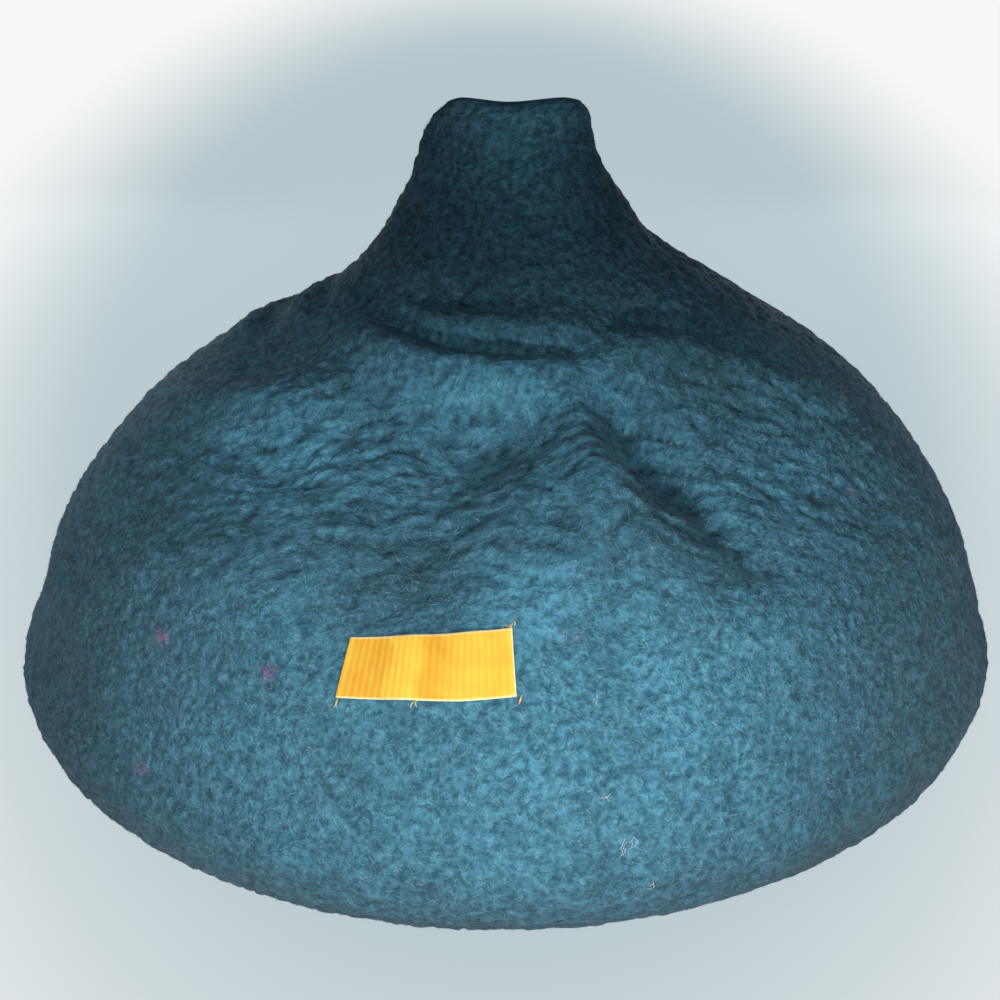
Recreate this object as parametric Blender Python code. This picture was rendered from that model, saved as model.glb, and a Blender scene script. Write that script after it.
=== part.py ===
"""Hand-felted wool pet cave: one seamless hollow felt body and a sewn-on woven label.

Frame: metres, +Z up. The flat base lies on z = 0 with the origin at its middle.
The labelled side faces -Y and the round entrance is on the +Y side.

A place on the felt wall is (azimuth, up): azimuth in degrees from the front,
positive towards +X, and up in millimetres along the wall, from the edge of the
flat base to the tip of the neck.
"""

from collections import namedtuple
from math import cos, pi, sin

import bmesh
import bpy
import numpy as np
from mathutils import Matrix, Vector
from mathutils.bvhtree import BVHTree

MM = 0.001
MM_PER_DEGREE = pi / 180

# Felt body, in millimetres
FELT_THICKNESS = 6.0
CAVE_TOP_UP = 386.0
NECK_DIP_DEPTH = 2.8
NECK_DIP_HALF_WIDTH = 16.0
RELIEF_STARTS_UP = 6.0
RELIEF_FULL_UP = 40.0
NORMAL_STEP_DEGREES = 0.2
NORMAL_STEP_UP = 0.3

# Entrance in the far wall, in millimetres
ENTRANCE_WIDTH = 212.0
ENTRANCE_HEIGHT = 152.0
ENTRANCE_CENTRE_HEIGHT = 119.0
ENTRANCE_CUT_FROM_Y = 90.0
ENTRANCE_CUT_TO_Y = 290.0
ENTRANCE_SIDES = 40

# Woven label, in millimetres
LABEL_THICKNESS = 1.0
LABEL_GAP = 0.4
LABEL_COLUMNS = 30
LABEL_ROWS = 10
LABEL_CAST_HEIGHT = 40.0

# One row for each level of the wall, in millimetres: the felt's outer face is an
# oval of its own half width, front half depth and back half depth round its own
# centre. Squareness 2 is an ellipse, and more is squarer.
Section = namedtuple(
    "Section", "height half_width half_front half_back centre_x centre_y squareness")
SECTIONS = (
    Section(0, 200, 200, 200, 0.0, 0, 2.0),
    Section(5, 211, 211, 211, 0.3, 0, 2.0),
    Section(13, 223, 223, 223, 0.6, 0, 2.0),
    Section(27, 236.5, 236.5, 236.5, 1.0, 0, 2.0),
    Section(48, 243.5, 243.5, 243.5, 1.2, 0, 2.0),
    Section(80, 236, 236, 236, 3.2, 0, 2.0),
    Section(112, 225, 225, 225, 4.2, 0, 2.0),
    Section(144, 205.5, 205.5, 205.5, 5.6, 0, 2.0),
    Section(171, 182.5, 182.5, 182.5, 7.4, 0, 2.0),
    Section(192, 156.5, 156.5, 156.5, 10.0, 0, 2.0),
    Section(208, 130, 130, 128, 14.0, 0, 2.0),
    Section(224, 106.5, 104, 102, 14.8, 0, 2.0),
    Section(240, 86, 80, 78, 12.2, 0, 2.0),
    Section(256, 69, 59, 57, 8.8, 1, 2.1),
    Section(272, 57.2, 42, 40, 6.6, 2, 2.2),
    Section(289, 47.2, 28, 26, 4.8, 3, 2.4),
    Section(304, 41.2, 17, 16, 3.4, 4, 2.6),
    Section(315, 38.0, 10, 10, 3.8, 4, 2.8),
    Section(321, 34.5, 7, 7, 4.2, 4, 2.8),
    Section(324.3, 28.0, 4.5, 4.5, 4.2, 4, 2.6),
)

# Broad swells and hollows of the wall: height in millimetres, negative for a
# hollow, and how far each reaches round the wall and up it
Swell = namedtuple("Swell", "azimuth up height reach_round reach_up")
SWELLS = (
    # The full belly, low on the front
    Swell(8, 104, 4.0, 105, 46),
    Swell(-38, 172, 4.0, 52, 30),
    Swell(44, 150, 2.5, 50, 34),
    # The flanks, wavy along their outline
    Swell(-84, 96, -2.5, 60, 26),
    Swell(82, 60, 3.0, 50, 24),
    Swell(60, 20, 2.5, 45, 20),
    # The two humps on the left shoulder
    Swell(-104, 262, 6.0, 30, 13),
    Swell(-98, 296, 5.0, 26, 10),
    # The right shoulder, drawn in where the neck begins
    Swell(96, 352, -2.5, 26, 16),
    # The far side, pushed out over the entrance
    Swell(180, 232, 7.0, 95, 26),
    Swell(138, 205, -5.0, 45, 40),
    Swell(-146, 215, -4.0, 50, 36),
)

# Folds of the wall: a line of points, each with the height by which the felt stands
# proud there, negative for a trough, and the fold's half width in millimetres
FoldPoint = namedtuple("FoldPoint", "azimuth up height")
Fold = namedtuple("Fold", "name half_width points")
FOLDS = (
    Fold("dent below the shoulder", 27, (
        FoldPoint(-72, 200, -0.5),
        FoldPoint(-53, 226, -1.5),
        FoldPoint(-32, 256, -4.0),
        FoldPoint(-14, 276, -9.0),
        FoldPoint(2, 281, -9.0),
        FoldPoint(18, 274, -8.5),
        FoldPoint(32, 254, -8.0),
        FoldPoint(45, 230, -6.0),
        FoldPoint(62, 204, -2.0))),
    Fold("crest of the left shoulder", 18, (
        FoldPoint(-38, 300, 3.0),
        FoldPoint(-50, 281, 7.5),
        FoldPoint(-61, 258, 8.0),
        FoldPoint(-76, 236, 3.0))),
    Fold("valley left of the ridge", 24, (
        FoldPoint(-6, 304, -1.5),
        FoldPoint(-9, 290, -7.0),
        FoldPoint(-12, 270, -11.0),
        FoldPoint(-13, 244, -11.0),
        FoldPoint(-14, 218, -9.0),
        FoldPoint(-15, 196, -6.0),
        FoldPoint(-17, 176, -1.0))),
    Fold("ridge down the middle of the dent", 15, (
        FoldPoint(7, 304, 2.0),
        FoldPoint(9, 290, 8.5),
        FoldPoint(11, 272, 13.0),
        FoldPoint(12, 250, 12.0),
        FoldPoint(11, 224, 9.5),
        FoldPoint(7, 202, 9.0),
        FoldPoint(4, 184, 4.0),
        FoldPoint(4, 172, 0.5))),
    Fold("spur on the right of the ridge", 13, (
        FoldPoint(13, 258, 1.0),
        FoldPoint(16, 238, 5.0),
        FoldPoint(18, 218, 6.0),
        FoldPoint(19, 202, 3.0),
        FoldPoint(20, 190, 0.5))),
    Fold("valley right of the ridge", 13, (
        FoldPoint(13, 304, -1.5),
        FoldPoint(17, 286, -7.0),
        FoldPoint(22, 262, -10.5),
        FoldPoint(28, 238, -10.5),
        FoldPoint(31, 216, -8.5),
        FoldPoint(33, 198, -5.0),
        FoldPoint(38, 180, -1.0))),
    Fold("brow of the belly", 20, (
        FoldPoint(10, 186, 1.0),
        FoldPoint(22, 182, 5.5),
        FoldPoint(32, 172, 3.5),
        FoldPoint(44, 160, 1.0))),
    Fold("brow of the left flank", 22, (
        FoldPoint(-26, 172, 1.0),
        FoldPoint(-38, 182, 5.0),
        FoldPoint(-50, 178, 3.5),
        FoldPoint(-62, 168, 1.0))),
    Fold("left lip", 12, (
        FoldPoint(-66, 312, 2.0),
        FoldPoint(-42, 308, 8.0),
        FoldPoint(-24, 307, 10.0),
        FoldPoint(-4, 307, 9.5),
        FoldPoint(14, 307, 3.5),
        FoldPoint(30, 309, 4.0))),
    Fold("left crease above the lip", 6.5, (
        FoldPoint(-62, 327, -3.5),
        FoldPoint(-41, 322, -7.5),
        FoldPoint(-26, 318, -8.5),
        FoldPoint(-3, 318.5, -8.0),
        FoldPoint(14, 319, -3.0))),
    Fold("roll between the creases", 8, (
        FoldPoint(-52, 331, 1.0),
        FoldPoint(-30, 328, 3.5),
        FoldPoint(-6, 329, 3.5),
        FoldPoint(12, 330, 1.5))),
    Fold("upper crease at the foot of the neck", 8, (
        FoldPoint(-64, 336, -2.0),
        FoldPoint(-22, 341, -3.5),
        FoldPoint(12, 341, -2.5),
        FoldPoint(34, 338, -1.0))),
    Fold("right lip", 12, (
        FoldPoint(30, 314, 4.0),
        FoldPoint(43, 310, 7.5),
        FoldPoint(52, 295, 7.0),
        FoldPoint(63, 270, 5.0),
        FoldPoint(76, 246, 1.5))),
    Fold("right crease above the lip", 7.5, (
        FoldPoint(30, 328, -3.0),
        FoldPoint(42, 325, -7.5),
        FoldPoint(50, 314, -8.0),
        FoldPoint(59, 299, -5.5),
        FoldPoint(72, 277, -1.0))),
    Fold("crease on the left flank", 10, (
        FoldPoint(-56, 238, -1.0),
        FoldPoint(-44, 240, -2.5),
        FoldPoint(-32, 236, -2.5),
        FoldPoint(-22, 230, -1.0))),
    Fold("groove low on the right", 8, (
        FoldPoint(11, 122, -0.5),
        FoldPoint(11, 100, -3.0),
        FoldPoint(12, 72, -2.5),
        FoldPoint(12, 56, -0.5))),
    Fold("groove far to the right", 8, (
        FoldPoint(24, 110, -0.5),
        FoldPoint(26, 88, -2.5),
        FoldPoint(26, 62, -1.5))),
    Fold("groove low on the left", 8, (
        FoldPoint(-8, 104, -0.5),
        FoldPoint(-7, 82, -2.5),
        FoldPoint(-8, 56, -1.5))),
)

# The label's cut edges on the wall, from its left end to its right end
LabelEdge = namedtuple("LabelEdge", "share top_azimuth top_up bottom_azimuth bottom_up")
LABEL_EDGES = (
    LabelEdge(0.0, -19.6, 170.0, -19.9, 146.5),
    LabelEdge(0.4, -12.0, 174.5, -11.6, 146.0),
    LabelEdge(0.7, -6.2, 177.0, -5.4, 148.0),
    LabelEdge(1.0, -0.2, 179.5, 0.6, 150.5),
)

# The label's puckers: where the ribbon stands off the felt along its length
Pucker = namedtuple("Pucker", "share height half_share")
LABEL_PUCKERS = (
    Pucker(0.39, 1.7, 0.11),
    Pucker(0.76, 1.4, 0.10),
)

# Steps of the body's mesh: from, to and step, in degrees or in millimetres
Band = namedtuple("Band", "start end step")
OUTER_COLUMNS = (Band(-180, -96, 9.3), Band(-96, 96, 4.4), Band(96, 180, 9.3))
INNER_COLUMNS = (Band(-180, -96, 14), Band(-96, 96, 6.4), Band(96, 180, 14))
OUTER_ROWS = (Band(0, 28, 9), Band(28, 196, 14), Band(196, 292, 10.5), Band(292, 346, 6),
              Band(346, 400, 11), Band(400, 430, 7))
INNER_ROWS = (Band(22, 60, 13), Band(60, 196, 19), Band(196, 292, 12), Band(292, 348, 9),
              Band(348, CAVE_TOP_UP, 14))

FELT_COLOUR = (0.035, 0.105, 0.135, 1.0)
FELT_ROUGHNESS = 0.95
LABEL_COLOUR = (0.83, 0.48, 0.02, 1.0)
LABEL_ROUGHNESS = 0.6


def wall_stations():
    """Distance up the wall of each row of SECTIONS, in millimetres."""
    heights = np.array([row.height for row in SECTIONS])
    radii = np.array([row.half_width for row in SECTIONS])
    return np.concatenate([[0.0], np.cumsum(np.hypot(np.diff(heights), np.diff(radii)))])


WALL_STATIONS = wall_stations()
WALL_LENGTH = WALL_STATIONS[-1]


def station_slopes(values):
    """Slopes at WALL_STATIONS that keep a cubic through the values from overshooting."""
    gaps = np.diff(WALL_STATIONS)
    slopes = np.diff(values) / gaps
    before, after = slopes[:-1], slopes[1:]
    weight_before = 2 * gaps[1:] + gaps[:-1]
    weight_after = gaps[1:] + 2 * gaps[:-1]
    same_way = before * after > 0
    safe_before = np.where(same_way, before, 1.0)
    safe_after = np.where(same_way, after, 1.0)
    middle = (weight_before + weight_after) / (
        weight_before / safe_before + weight_after / safe_after)
    inner = np.where(same_way, middle, 0.0)
    return np.concatenate([[slopes[0]], inner, [slopes[-1]]])


def read_sections(column, up):
    """Smooth value of one column of SECTIONS at distances up the wall."""
    values = np.array([getattr(row, column) for row in SECTIONS], dtype=float)
    slopes = station_slopes(values)
    row = np.clip(np.searchsorted(WALL_STATIONS, up) - 1, 0, len(values) - 2)
    gap = WALL_STATIONS[row + 1] - WALL_STATIONS[row]
    t = (up - WALL_STATIONS[row]) / gap
    return ((2 * t**3 - 3 * t**2 + 1) * values[row]
            + (t**3 - 2 * t**2 + t) * gap * slopes[row]
            + (3 * t**2 - 2 * t**3) * values[row + 1]
            + (t**3 - t**2) * gap * slopes[row + 1])


def plain_wall(azimuth, up):
    """Points of the wall without its swells and folds, in millimetres."""
    angle = np.radians(azimuth)
    power = 2 / read_sections("squareness", up)
    across = np.sign(np.sin(angle)) * np.abs(np.sin(angle)) ** power
    forward = np.sign(np.cos(angle)) * np.abs(np.cos(angle)) ** power
    half_depth = np.where(
        forward > 0, read_sections("half_front", up), read_sections("half_back", up))
    x = read_sections("centre_x", up) + read_sections("half_width", up) * across
    y = read_sections("centre_y", up) - half_depth * forward
    z = read_sections("height", up)
    return np.stack([x, y, z], axis=-1)


def plain_normal(azimuth, up):
    """Outward unit normals of the plain wall."""
    low = np.clip(up - NORMAL_STEP_UP, 0, WALL_LENGTH)
    high = np.clip(up + NORMAL_STEP_UP, 0, WALL_LENGTH)
    round_wall = (plain_wall(azimuth + NORMAL_STEP_DEGREES, up)
                  - plain_wall(azimuth - NORMAL_STEP_DEGREES, up))
    up_wall = plain_wall(azimuth, high) - plain_wall(azimuth, low)
    normal = np.cross(round_wall, up_wall)
    return normal / np.linalg.norm(normal, axis=-1, keepdims=True)


def turn_between(azimuth, centre):
    """Signed turn from centre to azimuth, in degrees, the short way round."""
    return (azimuth - centre + 180) % 360 - 180


def swell_relief(swell, azimuth, up, girth):
    """Height of one swell, which fades with distance round the wall and up it."""
    across = turn_between(azimuth, swell.azimuth) * girth / swell.reach_round
    along = (up - swell.up) / swell.reach_up
    return swell.height * np.exp(-across**2 - along**2)


def fold_relief(fold, azimuth, up, girth, widen):
    """Height of one fold, from the distance to the nearest point of its line."""
    nearest = np.full(np.shape(azimuth), np.inf)
    height = np.zeros(np.shape(azimuth))
    for start, end in zip(fold.points, fold.points[1:]):
        run = (end.azimuth - start.azimuth) * girth
        rise = end.up - start.up
        across = turn_between(azimuth, start.azimuth) * girth
        along = up - start.up
        share = np.clip((across * run + along * rise) / (run**2 + rise**2), 0, 1)
        distance = np.hypot(across - share * run, along - share * rise)
        closer = distance < nearest
        nearest = np.where(closer, distance, nearest)
        height = np.where(closer, start.height + share * (end.height - start.height), height)
    half_width = fold.half_width + np.where(height < 0, widen, 0)
    return height * np.exp(-(nearest / half_width) ** 2)


def relief(azimuth, up, widen):
    """Height of all swells and folds, with the troughs made wider by widen."""
    girth = MM_PER_DEGREE * read_sections("half_width", up)
    total = sum(swell_relief(swell, azimuth, up, girth) for swell in SWELLS)
    total = total + sum(fold_relief(fold, azimuth, up, girth, widen) for fold in FOLDS)
    t = np.clip((up - RELIEF_STARTS_UP) / (RELIEF_FULL_UP - RELIEF_STARTS_UP), 0, 1)
    return total * t * t * (3 - 2 * t)


def felt_face(azimuth, up, depth=0.0):
    """Points of the folded wall, in millimetres, at a depth inside its outer face."""
    proud = relief(azimuth, up, depth) - depth
    return plain_wall(azimuth, up) + plain_normal(azimuth, up) * proud[..., None]


def band_steps(bands):
    """Even steps through each band, with the first start and the last end."""
    steps = [bands[0].start]
    for band in bands:
        count = max(1, round((band.end - band.start) / band.step))
        steps += [band.start + (band.end - band.start) * i / count for i in range(1, count + 1)]
    return np.array(steps, dtype=float)


def loft(name, rings):
    """Closed mesh object through rings of points in millimetres, with flat ends."""
    mesh = bpy.data.meshes.new(name)
    bm = bmesh.new()
    loops = [[bm.verts.new(Vector(point) * MM) for point in ring] for ring in rings]
    columns = len(loops[0])
    for lower, upper in zip(loops, loops[1:]):
        for i in range(columns):
            j = (i + 1) % columns
            bm.faces.new((lower[i], lower[j], upper[j], upper[i]))
    bm.faces.new(reversed(loops[0]))
    bm.faces.new(loops[-1])
    bm.to_mesh(mesh)
    bm.free()
    return bpy.data.objects.new(name, mesh)


def outer_rings():
    """Rings of the felt's outer face, from the flat base to the dipped tip."""
    azimuths = band_steps(OUTER_COLUMNS)[:-1]
    ups = band_steps(OUTER_ROWS)
    ups[-1] = WALL_LENGTH
    azimuth, up = np.meshgrid(azimuths, ups)
    points = felt_face(azimuth, up)
    points[0, :, 2] = 0.0
    tip = SECTIONS[-1]
    neck_share = np.clip((up - CAVE_TOP_UP) / (WALL_LENGTH - CAVE_TOP_UP), 0, 1)
    dip = np.exp(-((points[..., 0] - tip.centre_x) / NECK_DIP_HALF_WIDTH) ** 2)
    points[..., 2] -= NECK_DIP_DEPTH * dip * neck_share**2
    return points


def hollow_rings():
    """Rings of the hollow, from its flat floor to where the neck is pressed shut."""
    azimuths = band_steps(INNER_COLUMNS)[:-1]
    ups = band_steps(INNER_ROWS)
    azimuth, up = np.meshgrid(azimuths, ups)
    points = felt_face(azimuth, up, FELT_THICKNESS)
    floor = points[0].copy()
    floor[:, 2] = FELT_THICKNESS
    shelf = (SECTIONS[0].half_width - FELT_THICKNESS / 2) / SECTIONS[0].half_width
    ground = felt_face(azimuths, np.zeros_like(azimuths))
    floor[:, :2] = ground[:, :2] * shelf
    points[-1, :, 2] = points[-1, :, 2].mean()
    return np.concatenate([floor[None], points])


def entrance_cutter():
    """Upright oval plug that runs out through the far wall."""
    mesh = bpy.data.meshes.new("entrance_cutter")
    bm = bmesh.new()
    bmesh.ops.create_cone(
        bm, cap_ends=True, segments=ENTRANCE_SIDES, radius1=0.5, radius2=0.5, depth=1.0,
        matrix=Matrix.Rotation(pi / 2, 4, "X"))
    length = ENTRANCE_CUT_TO_Y - ENTRANCE_CUT_FROM_Y
    bmesh.ops.scale(bm, vec=Vector((ENTRANCE_WIDTH, length, ENTRANCE_HEIGHT)) * MM, verts=bm.verts)
    bm.to_mesh(mesh)
    bm.free()
    cutter = bpy.data.objects.new("entrance_cutter", mesh)
    middle = (ENTRANCE_CUT_TO_Y + ENTRANCE_CUT_FROM_Y) / 2
    cutter.location = Vector((0, middle, ENTRANCE_CENTRE_HEIGHT)) * MM
    return cutter


def subtract(target, cutter):
    """Cut one closed object out of another."""
    modifier = target.modifiers.new(cutter.name, "BOOLEAN")
    modifier.operation = "DIFFERENCE"
    modifier.solver = "EXACT"
    modifier.object = cutter


def make_material(name, colour, roughness):
    """Principled material of one colour."""
    material = bpy.data.materials.new(name)
    material.use_nodes = True
    shader = material.node_tree.nodes["Principled BSDF"]
    shader.inputs["Base Color"].default_value = colour
    shader.inputs["Roughness"].default_value = roughness
    shader.inputs["Metallic"].default_value = 0.0
    material.diffuse_color = colour
    return material


def felt_body(parts, cutters):
    """The seamless felt wall, hollow, with its entrance."""
    body = loft("felt_cave", outer_rings())
    hollow = loft("hollow_cutter", hollow_rings())
    entrance = entrance_cutter()
    parts.objects.link(body)
    for cutter in (hollow, entrance):
        cutters.objects.link(cutter)
        cutter.hide_render = True
        cutter.display_type = "WIRE"
        subtract(body, cutter)
    body.data.materials.append(make_material("teal_wool_felt", FELT_COLOUR, FELT_ROUGHNESS))
    body.data.shade_smooth()
    return body


def pucker_height(share):
    """How far the ribbon stands off the felt at a share of its length."""
    return sum(row.height * np.exp(-((share - row.share) / row.half_share) ** 2)
               for row in LABEL_PUCKERS)


def label_grid():
    """Azimuth, up and puckered height of the label's grid of points."""
    along, across = np.meshgrid(np.linspace(0, 1, LABEL_COLUMNS + 1),
                                np.linspace(0, 1, LABEL_ROWS + 1))
    shares = [row.share for row in LABEL_EDGES]

    def edge(column):
        return np.interp(along, shares, [getattr(row, column) for row in LABEL_EDGES])

    azimuth = edge("bottom_azimuth") * (1 - across) + edge("top_azimuth") * across
    up = edge("bottom_up") * (1 - across) + edge("top_up") * across
    return azimuth, up, pucker_height(along)


def woven_label(parts, body):
    """The ribbon label, which lies puckered on the faceted felt below it."""
    azimuth, up, pucker = label_grid()
    normals = plain_normal(azimuth, up)
    starts = felt_face(azimuth, up) + normals * LABEL_CAST_HEIGHT
    felt = BVHTree.FromObject(body, bpy.context.evaluated_depsgraph_get())
    back = np.empty_like(starts)
    for index in np.ndindex(azimuth.shape):
        hit, _, _, _ = felt.ray_cast(Vector(starts[index]) * MM, -Vector(normals[index]))
        back[index] = np.array(hit) / MM + normals[index] * (LABEL_GAP + pucker[index])
    front = back + normals * LABEL_THICKNESS
    rows, columns = azimuth.shape
    rim = ([(0, i) for i in range(columns)] + [(j, columns - 1) for j in range(1, rows)]
           + [(rows - 1, i) for i in range(columns - 2, -1, -1)]
           + [(j, 0) for j in range(rows - 2, 0, -1)])
    mesh = bpy.data.meshes.new("woven_label")
    bm = bmesh.new()
    sheets = [[[bm.verts.new(Vector(point) * MM) for point in row] for row in sheet]
              for sheet in (back, front)]
    for j in range(rows - 1):
        for i in range(columns - 1):
            corners = ((j, i), (j, i + 1), (j + 1, i + 1), (j + 1, i))
            bm.faces.new([sheets[1][r][c] for r, c in corners])
            bm.faces.new([sheets[0][r][c] for r, c in reversed(corners)])
    for (r, c), (next_r, next_c) in zip(rim, rim[1:] + rim[:1]):
        bm.faces.new((sheets[0][r][c], sheets[0][next_r][next_c],
                      sheets[1][next_r][next_c], sheets[1][r][c]))
    bm.to_mesh(mesh)
    bm.free()
    label = bpy.data.objects.new("woven_label", mesh)
    parts.objects.link(label)
    mesh.materials.append(make_material("yellow_woven_ribbon", LABEL_COLOUR, LABEL_ROUGHNESS))
    mesh.shade_smooth()
    return label


def clear_scene():
    """Remove every object of the scene."""
    for thing in list(bpy.data.objects):
        bpy.data.objects.remove(thing, do_unlink=True)


def new_collection(name):
    """Collection linked to the scene."""
    collection = bpy.data.collections.new(name)
    bpy.context.scene.collection.children.link(collection)
    return collection


def main():
    """Model the pet cave."""
    clear_scene()
    parts = new_collection("wool_pet_cave")
    cutters = new_collection("cutters")
    body = felt_body(parts, cutters)
    woven_label(parts, body)


main()
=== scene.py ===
"""Looks of a hand-felted wool pet cave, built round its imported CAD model.

The seamless felt wall, the ribbon label, its thread ends and the loose wool
fibres are modelled here in their own sizes. A place on the wall is
(azimuth, up): azimuth in degrees from the labelled front, positive towards +X,
and up in millimetres along the wall from the edge of the flat base.
"""

import logging
import math
from dataclasses import dataclass
from enum import Enum
from typing import Iterable, Optional, Sequence

import bpy
import numpy as np
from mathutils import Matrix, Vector


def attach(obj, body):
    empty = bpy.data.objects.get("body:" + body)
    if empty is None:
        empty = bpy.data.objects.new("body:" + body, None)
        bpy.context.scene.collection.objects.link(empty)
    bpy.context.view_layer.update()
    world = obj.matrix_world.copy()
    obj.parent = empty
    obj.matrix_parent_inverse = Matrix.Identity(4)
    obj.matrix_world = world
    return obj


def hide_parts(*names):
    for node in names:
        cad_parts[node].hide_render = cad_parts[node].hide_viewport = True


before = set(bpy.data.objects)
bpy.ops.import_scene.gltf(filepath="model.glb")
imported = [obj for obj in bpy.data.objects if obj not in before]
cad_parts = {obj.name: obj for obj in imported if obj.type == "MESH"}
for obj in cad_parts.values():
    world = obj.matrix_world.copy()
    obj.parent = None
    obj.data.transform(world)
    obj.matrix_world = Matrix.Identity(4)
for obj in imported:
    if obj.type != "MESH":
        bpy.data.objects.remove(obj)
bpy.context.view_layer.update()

log = logging.getLogger("pet_cave")

Array = np.ndarray
Thing = bpy.types.Object
Socket = bpy.types.NodeSocket
Pair = tuple[float, float]
Triple = tuple[float, float, float]
Span = tuple[float, float, float, float]
Grids = tuple[np.ndarray, np.ndarray]

MM = 0.001
BODY = "root"


def linear(hex_colour: str) -> Span:
    """Turn an sRGB hex colour to linear.

    Args:
        hex_colour: Colour such as "#2C6579".

    Returns:
        Linear red, green and blue, and an alpha of 1.
    """
    parts = [int(hex_colour[i:i + 2], 16) / 255 for i in (1, 3, 5)]
    lin = [c / 12.92 if c <= 0.04045 else ((c + 0.055) / 1.055) ** 2.4 for c in parts]
    return (lin[0], lin[1], lin[2], 1.0)


def set_inputs(tree: bpy.types.NodeTree, node: bpy.types.Node, settings: dict) -> None:
    """Set a node's attributes and inputs, and link the inputs whose value is a socket."""
    for key, value in settings.items():
        if isinstance(value, Socket):
            tree.links.new(value, node.inputs[key])
        elif isinstance(key, str) and hasattr(node, key):
            setattr(node, key, value)
        else:
            node.inputs[key].default_value = value


def add_node(tree: bpy.types.NodeTree, kind: str,
             settings: Optional[dict] = None) -> bpy.types.Node:
    """Add a node with its settings and links.

    Args:
        tree: Node tree that gets the node.
        kind: Node type, such as "ShaderNodeBump".
        settings: Attributes by lower-case name, and inputs by their socket's
            name or index, each with a value or with the output that feeds it.

    Returns:
        The new node.
    """
    node = tree.nodes.new(kind)
    set_inputs(tree, node, settings or {})
    return node


class NodeMaterial:
    """A material in the making, with the nodes that the finishes share."""

    def __init__(self, name: str) -> None:
        """Start the material with its Principled shader and output."""
        self.material = bpy.data.materials.new(name)
        self.material.use_nodes = True
        self.tree = self.material.node_tree
        self.tree.nodes.clear()
        self.shader = add_node(self.tree, "ShaderNodeBsdfPrincipled")
        add_node(self.tree, "ShaderNodeOutputMaterial", {"Surface": self.shader.outputs[0]})

    def place(self) -> Socket:
        """Place on the object, in metres."""
        return add_node(self.tree, "ShaderNodeTexCoord").outputs["Object"]

    def axes(self, place: Socket) -> Sequence[Socket]:
        """The three coordinates of a place."""
        return add_node(self.tree, "ShaderNodeSeparateXYZ", {0: place}).outputs

    def attribute(self, name: str) -> Socket:
        """A value stored at the mesh's points."""
        return add_node(self.tree, "ShaderNodeAttribute", {"attribute_name": name}).outputs["Fac"]

    def noise(self, place: Socket, scale: float, detail: float, roughness: float = 0.5) -> Socket:
        """Soft noise round 0.5."""
        return add_node(self.tree, "ShaderNodeTexNoise", {
            "Scale": scale, "Detail": detail, "Roughness": roughness,
            "Vector": place}).outputs["Fac"]

    def wave(self, place: Socket, along: str, pitch: float, **settings: float) -> Socket:
        """Bands of a pitch, one after another along X or Y."""
        return add_node(self.tree, "ShaderNodeTexWave", {
            "bands_direction": along, "Scale": math.tau / pitch / 20, "Vector": place,
            **settings}).outputs["Fac"]

    def span(self, value: Socket, low: float, high: float, to_low: float = 0.0,
             to_high: float = 1.0) -> Socket:
        """A value's span from low to high, laid out from to_low to to_high."""
        return add_node(self.tree, "ShaderNodeMapRange", {
            "Value": value, "From Min": low, "From Max": high, "To Min": to_low,
            "To Max": to_high}).outputs[0]

    def maths(self, operation: str, *values: Socket | float) -> Socket:
        """A sum of arithmetic on up to three values."""
        return add_node(self.tree, "ShaderNodeMath", {
            "operation": operation, **dict(enumerate(values))}).outputs[0]

    def mix(self, share: Socket | float, low: Socket | Sequence[float],
            high: Socket | Sequence[float], blend: str = "MIX") -> Socket:
        """A mix of two colours."""
        return add_node(self.tree, "ShaderNodeMix", {
            "data_type": "RGBA", "blend_type": blend, 0: share, 6: low, 7: high}).outputs[2]

    def bump(self, height: Socket, depth_mm: float, **under: Socket) -> Socket:
        """A relief of a depth, on top of another one where that is given as Normal."""
        return add_node(self.tree, "ShaderNodeBump", {
            "Distance": depth_mm * MM, "Height": height, **under}).outputs[0]

    def finish(self, settings: dict) -> bpy.types.Material:
        """Set the shader's inputs and give back the material."""
        set_inputs(self.tree, self.shader, settings)
        return self.material


def mesh_object(name: str, points: Array, faces: Sequence[Sequence[int]]) -> Thing:
    """Make a smooth-shaded mesh object in the scene.

    Args:
        name: The object's name.
        points: Vertices in millimetres, one row each.
        faces: Vertex numbers of each face.

    Returns:
        The new object.
    """
    mesh = bpy.data.meshes.new(name)
    mesh.from_pydata((np.asarray(points, float) * MM).tolist(), [], [list(f) for f in faces])
    mesh.validate()
    mesh.shade_smooth()
    thing = bpy.data.objects.new(name, mesh)
    bpy.context.scene.collection.objects.link(thing)
    return thing


def band_steps(bands: Sequence[Triple]) -> Array:
    """Even steps through each band of (start, end, step), ends included."""
    steps = [bands[0][0]]
    for start, end, step in bands:
        count = max(1, round((end - start) / step))
        steps += [start + (end - start) * i / count for i in range(1, count + 1)]
    return np.array(steps)


def smooth_step(value: Array, low: float, high: float) -> Array:
    """Rise smoothly from 0 at low to 1 at high."""
    t = np.clip((value - low) / (high - low), 0, 1)
    return t * t * (3 - 2 * t)


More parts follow.
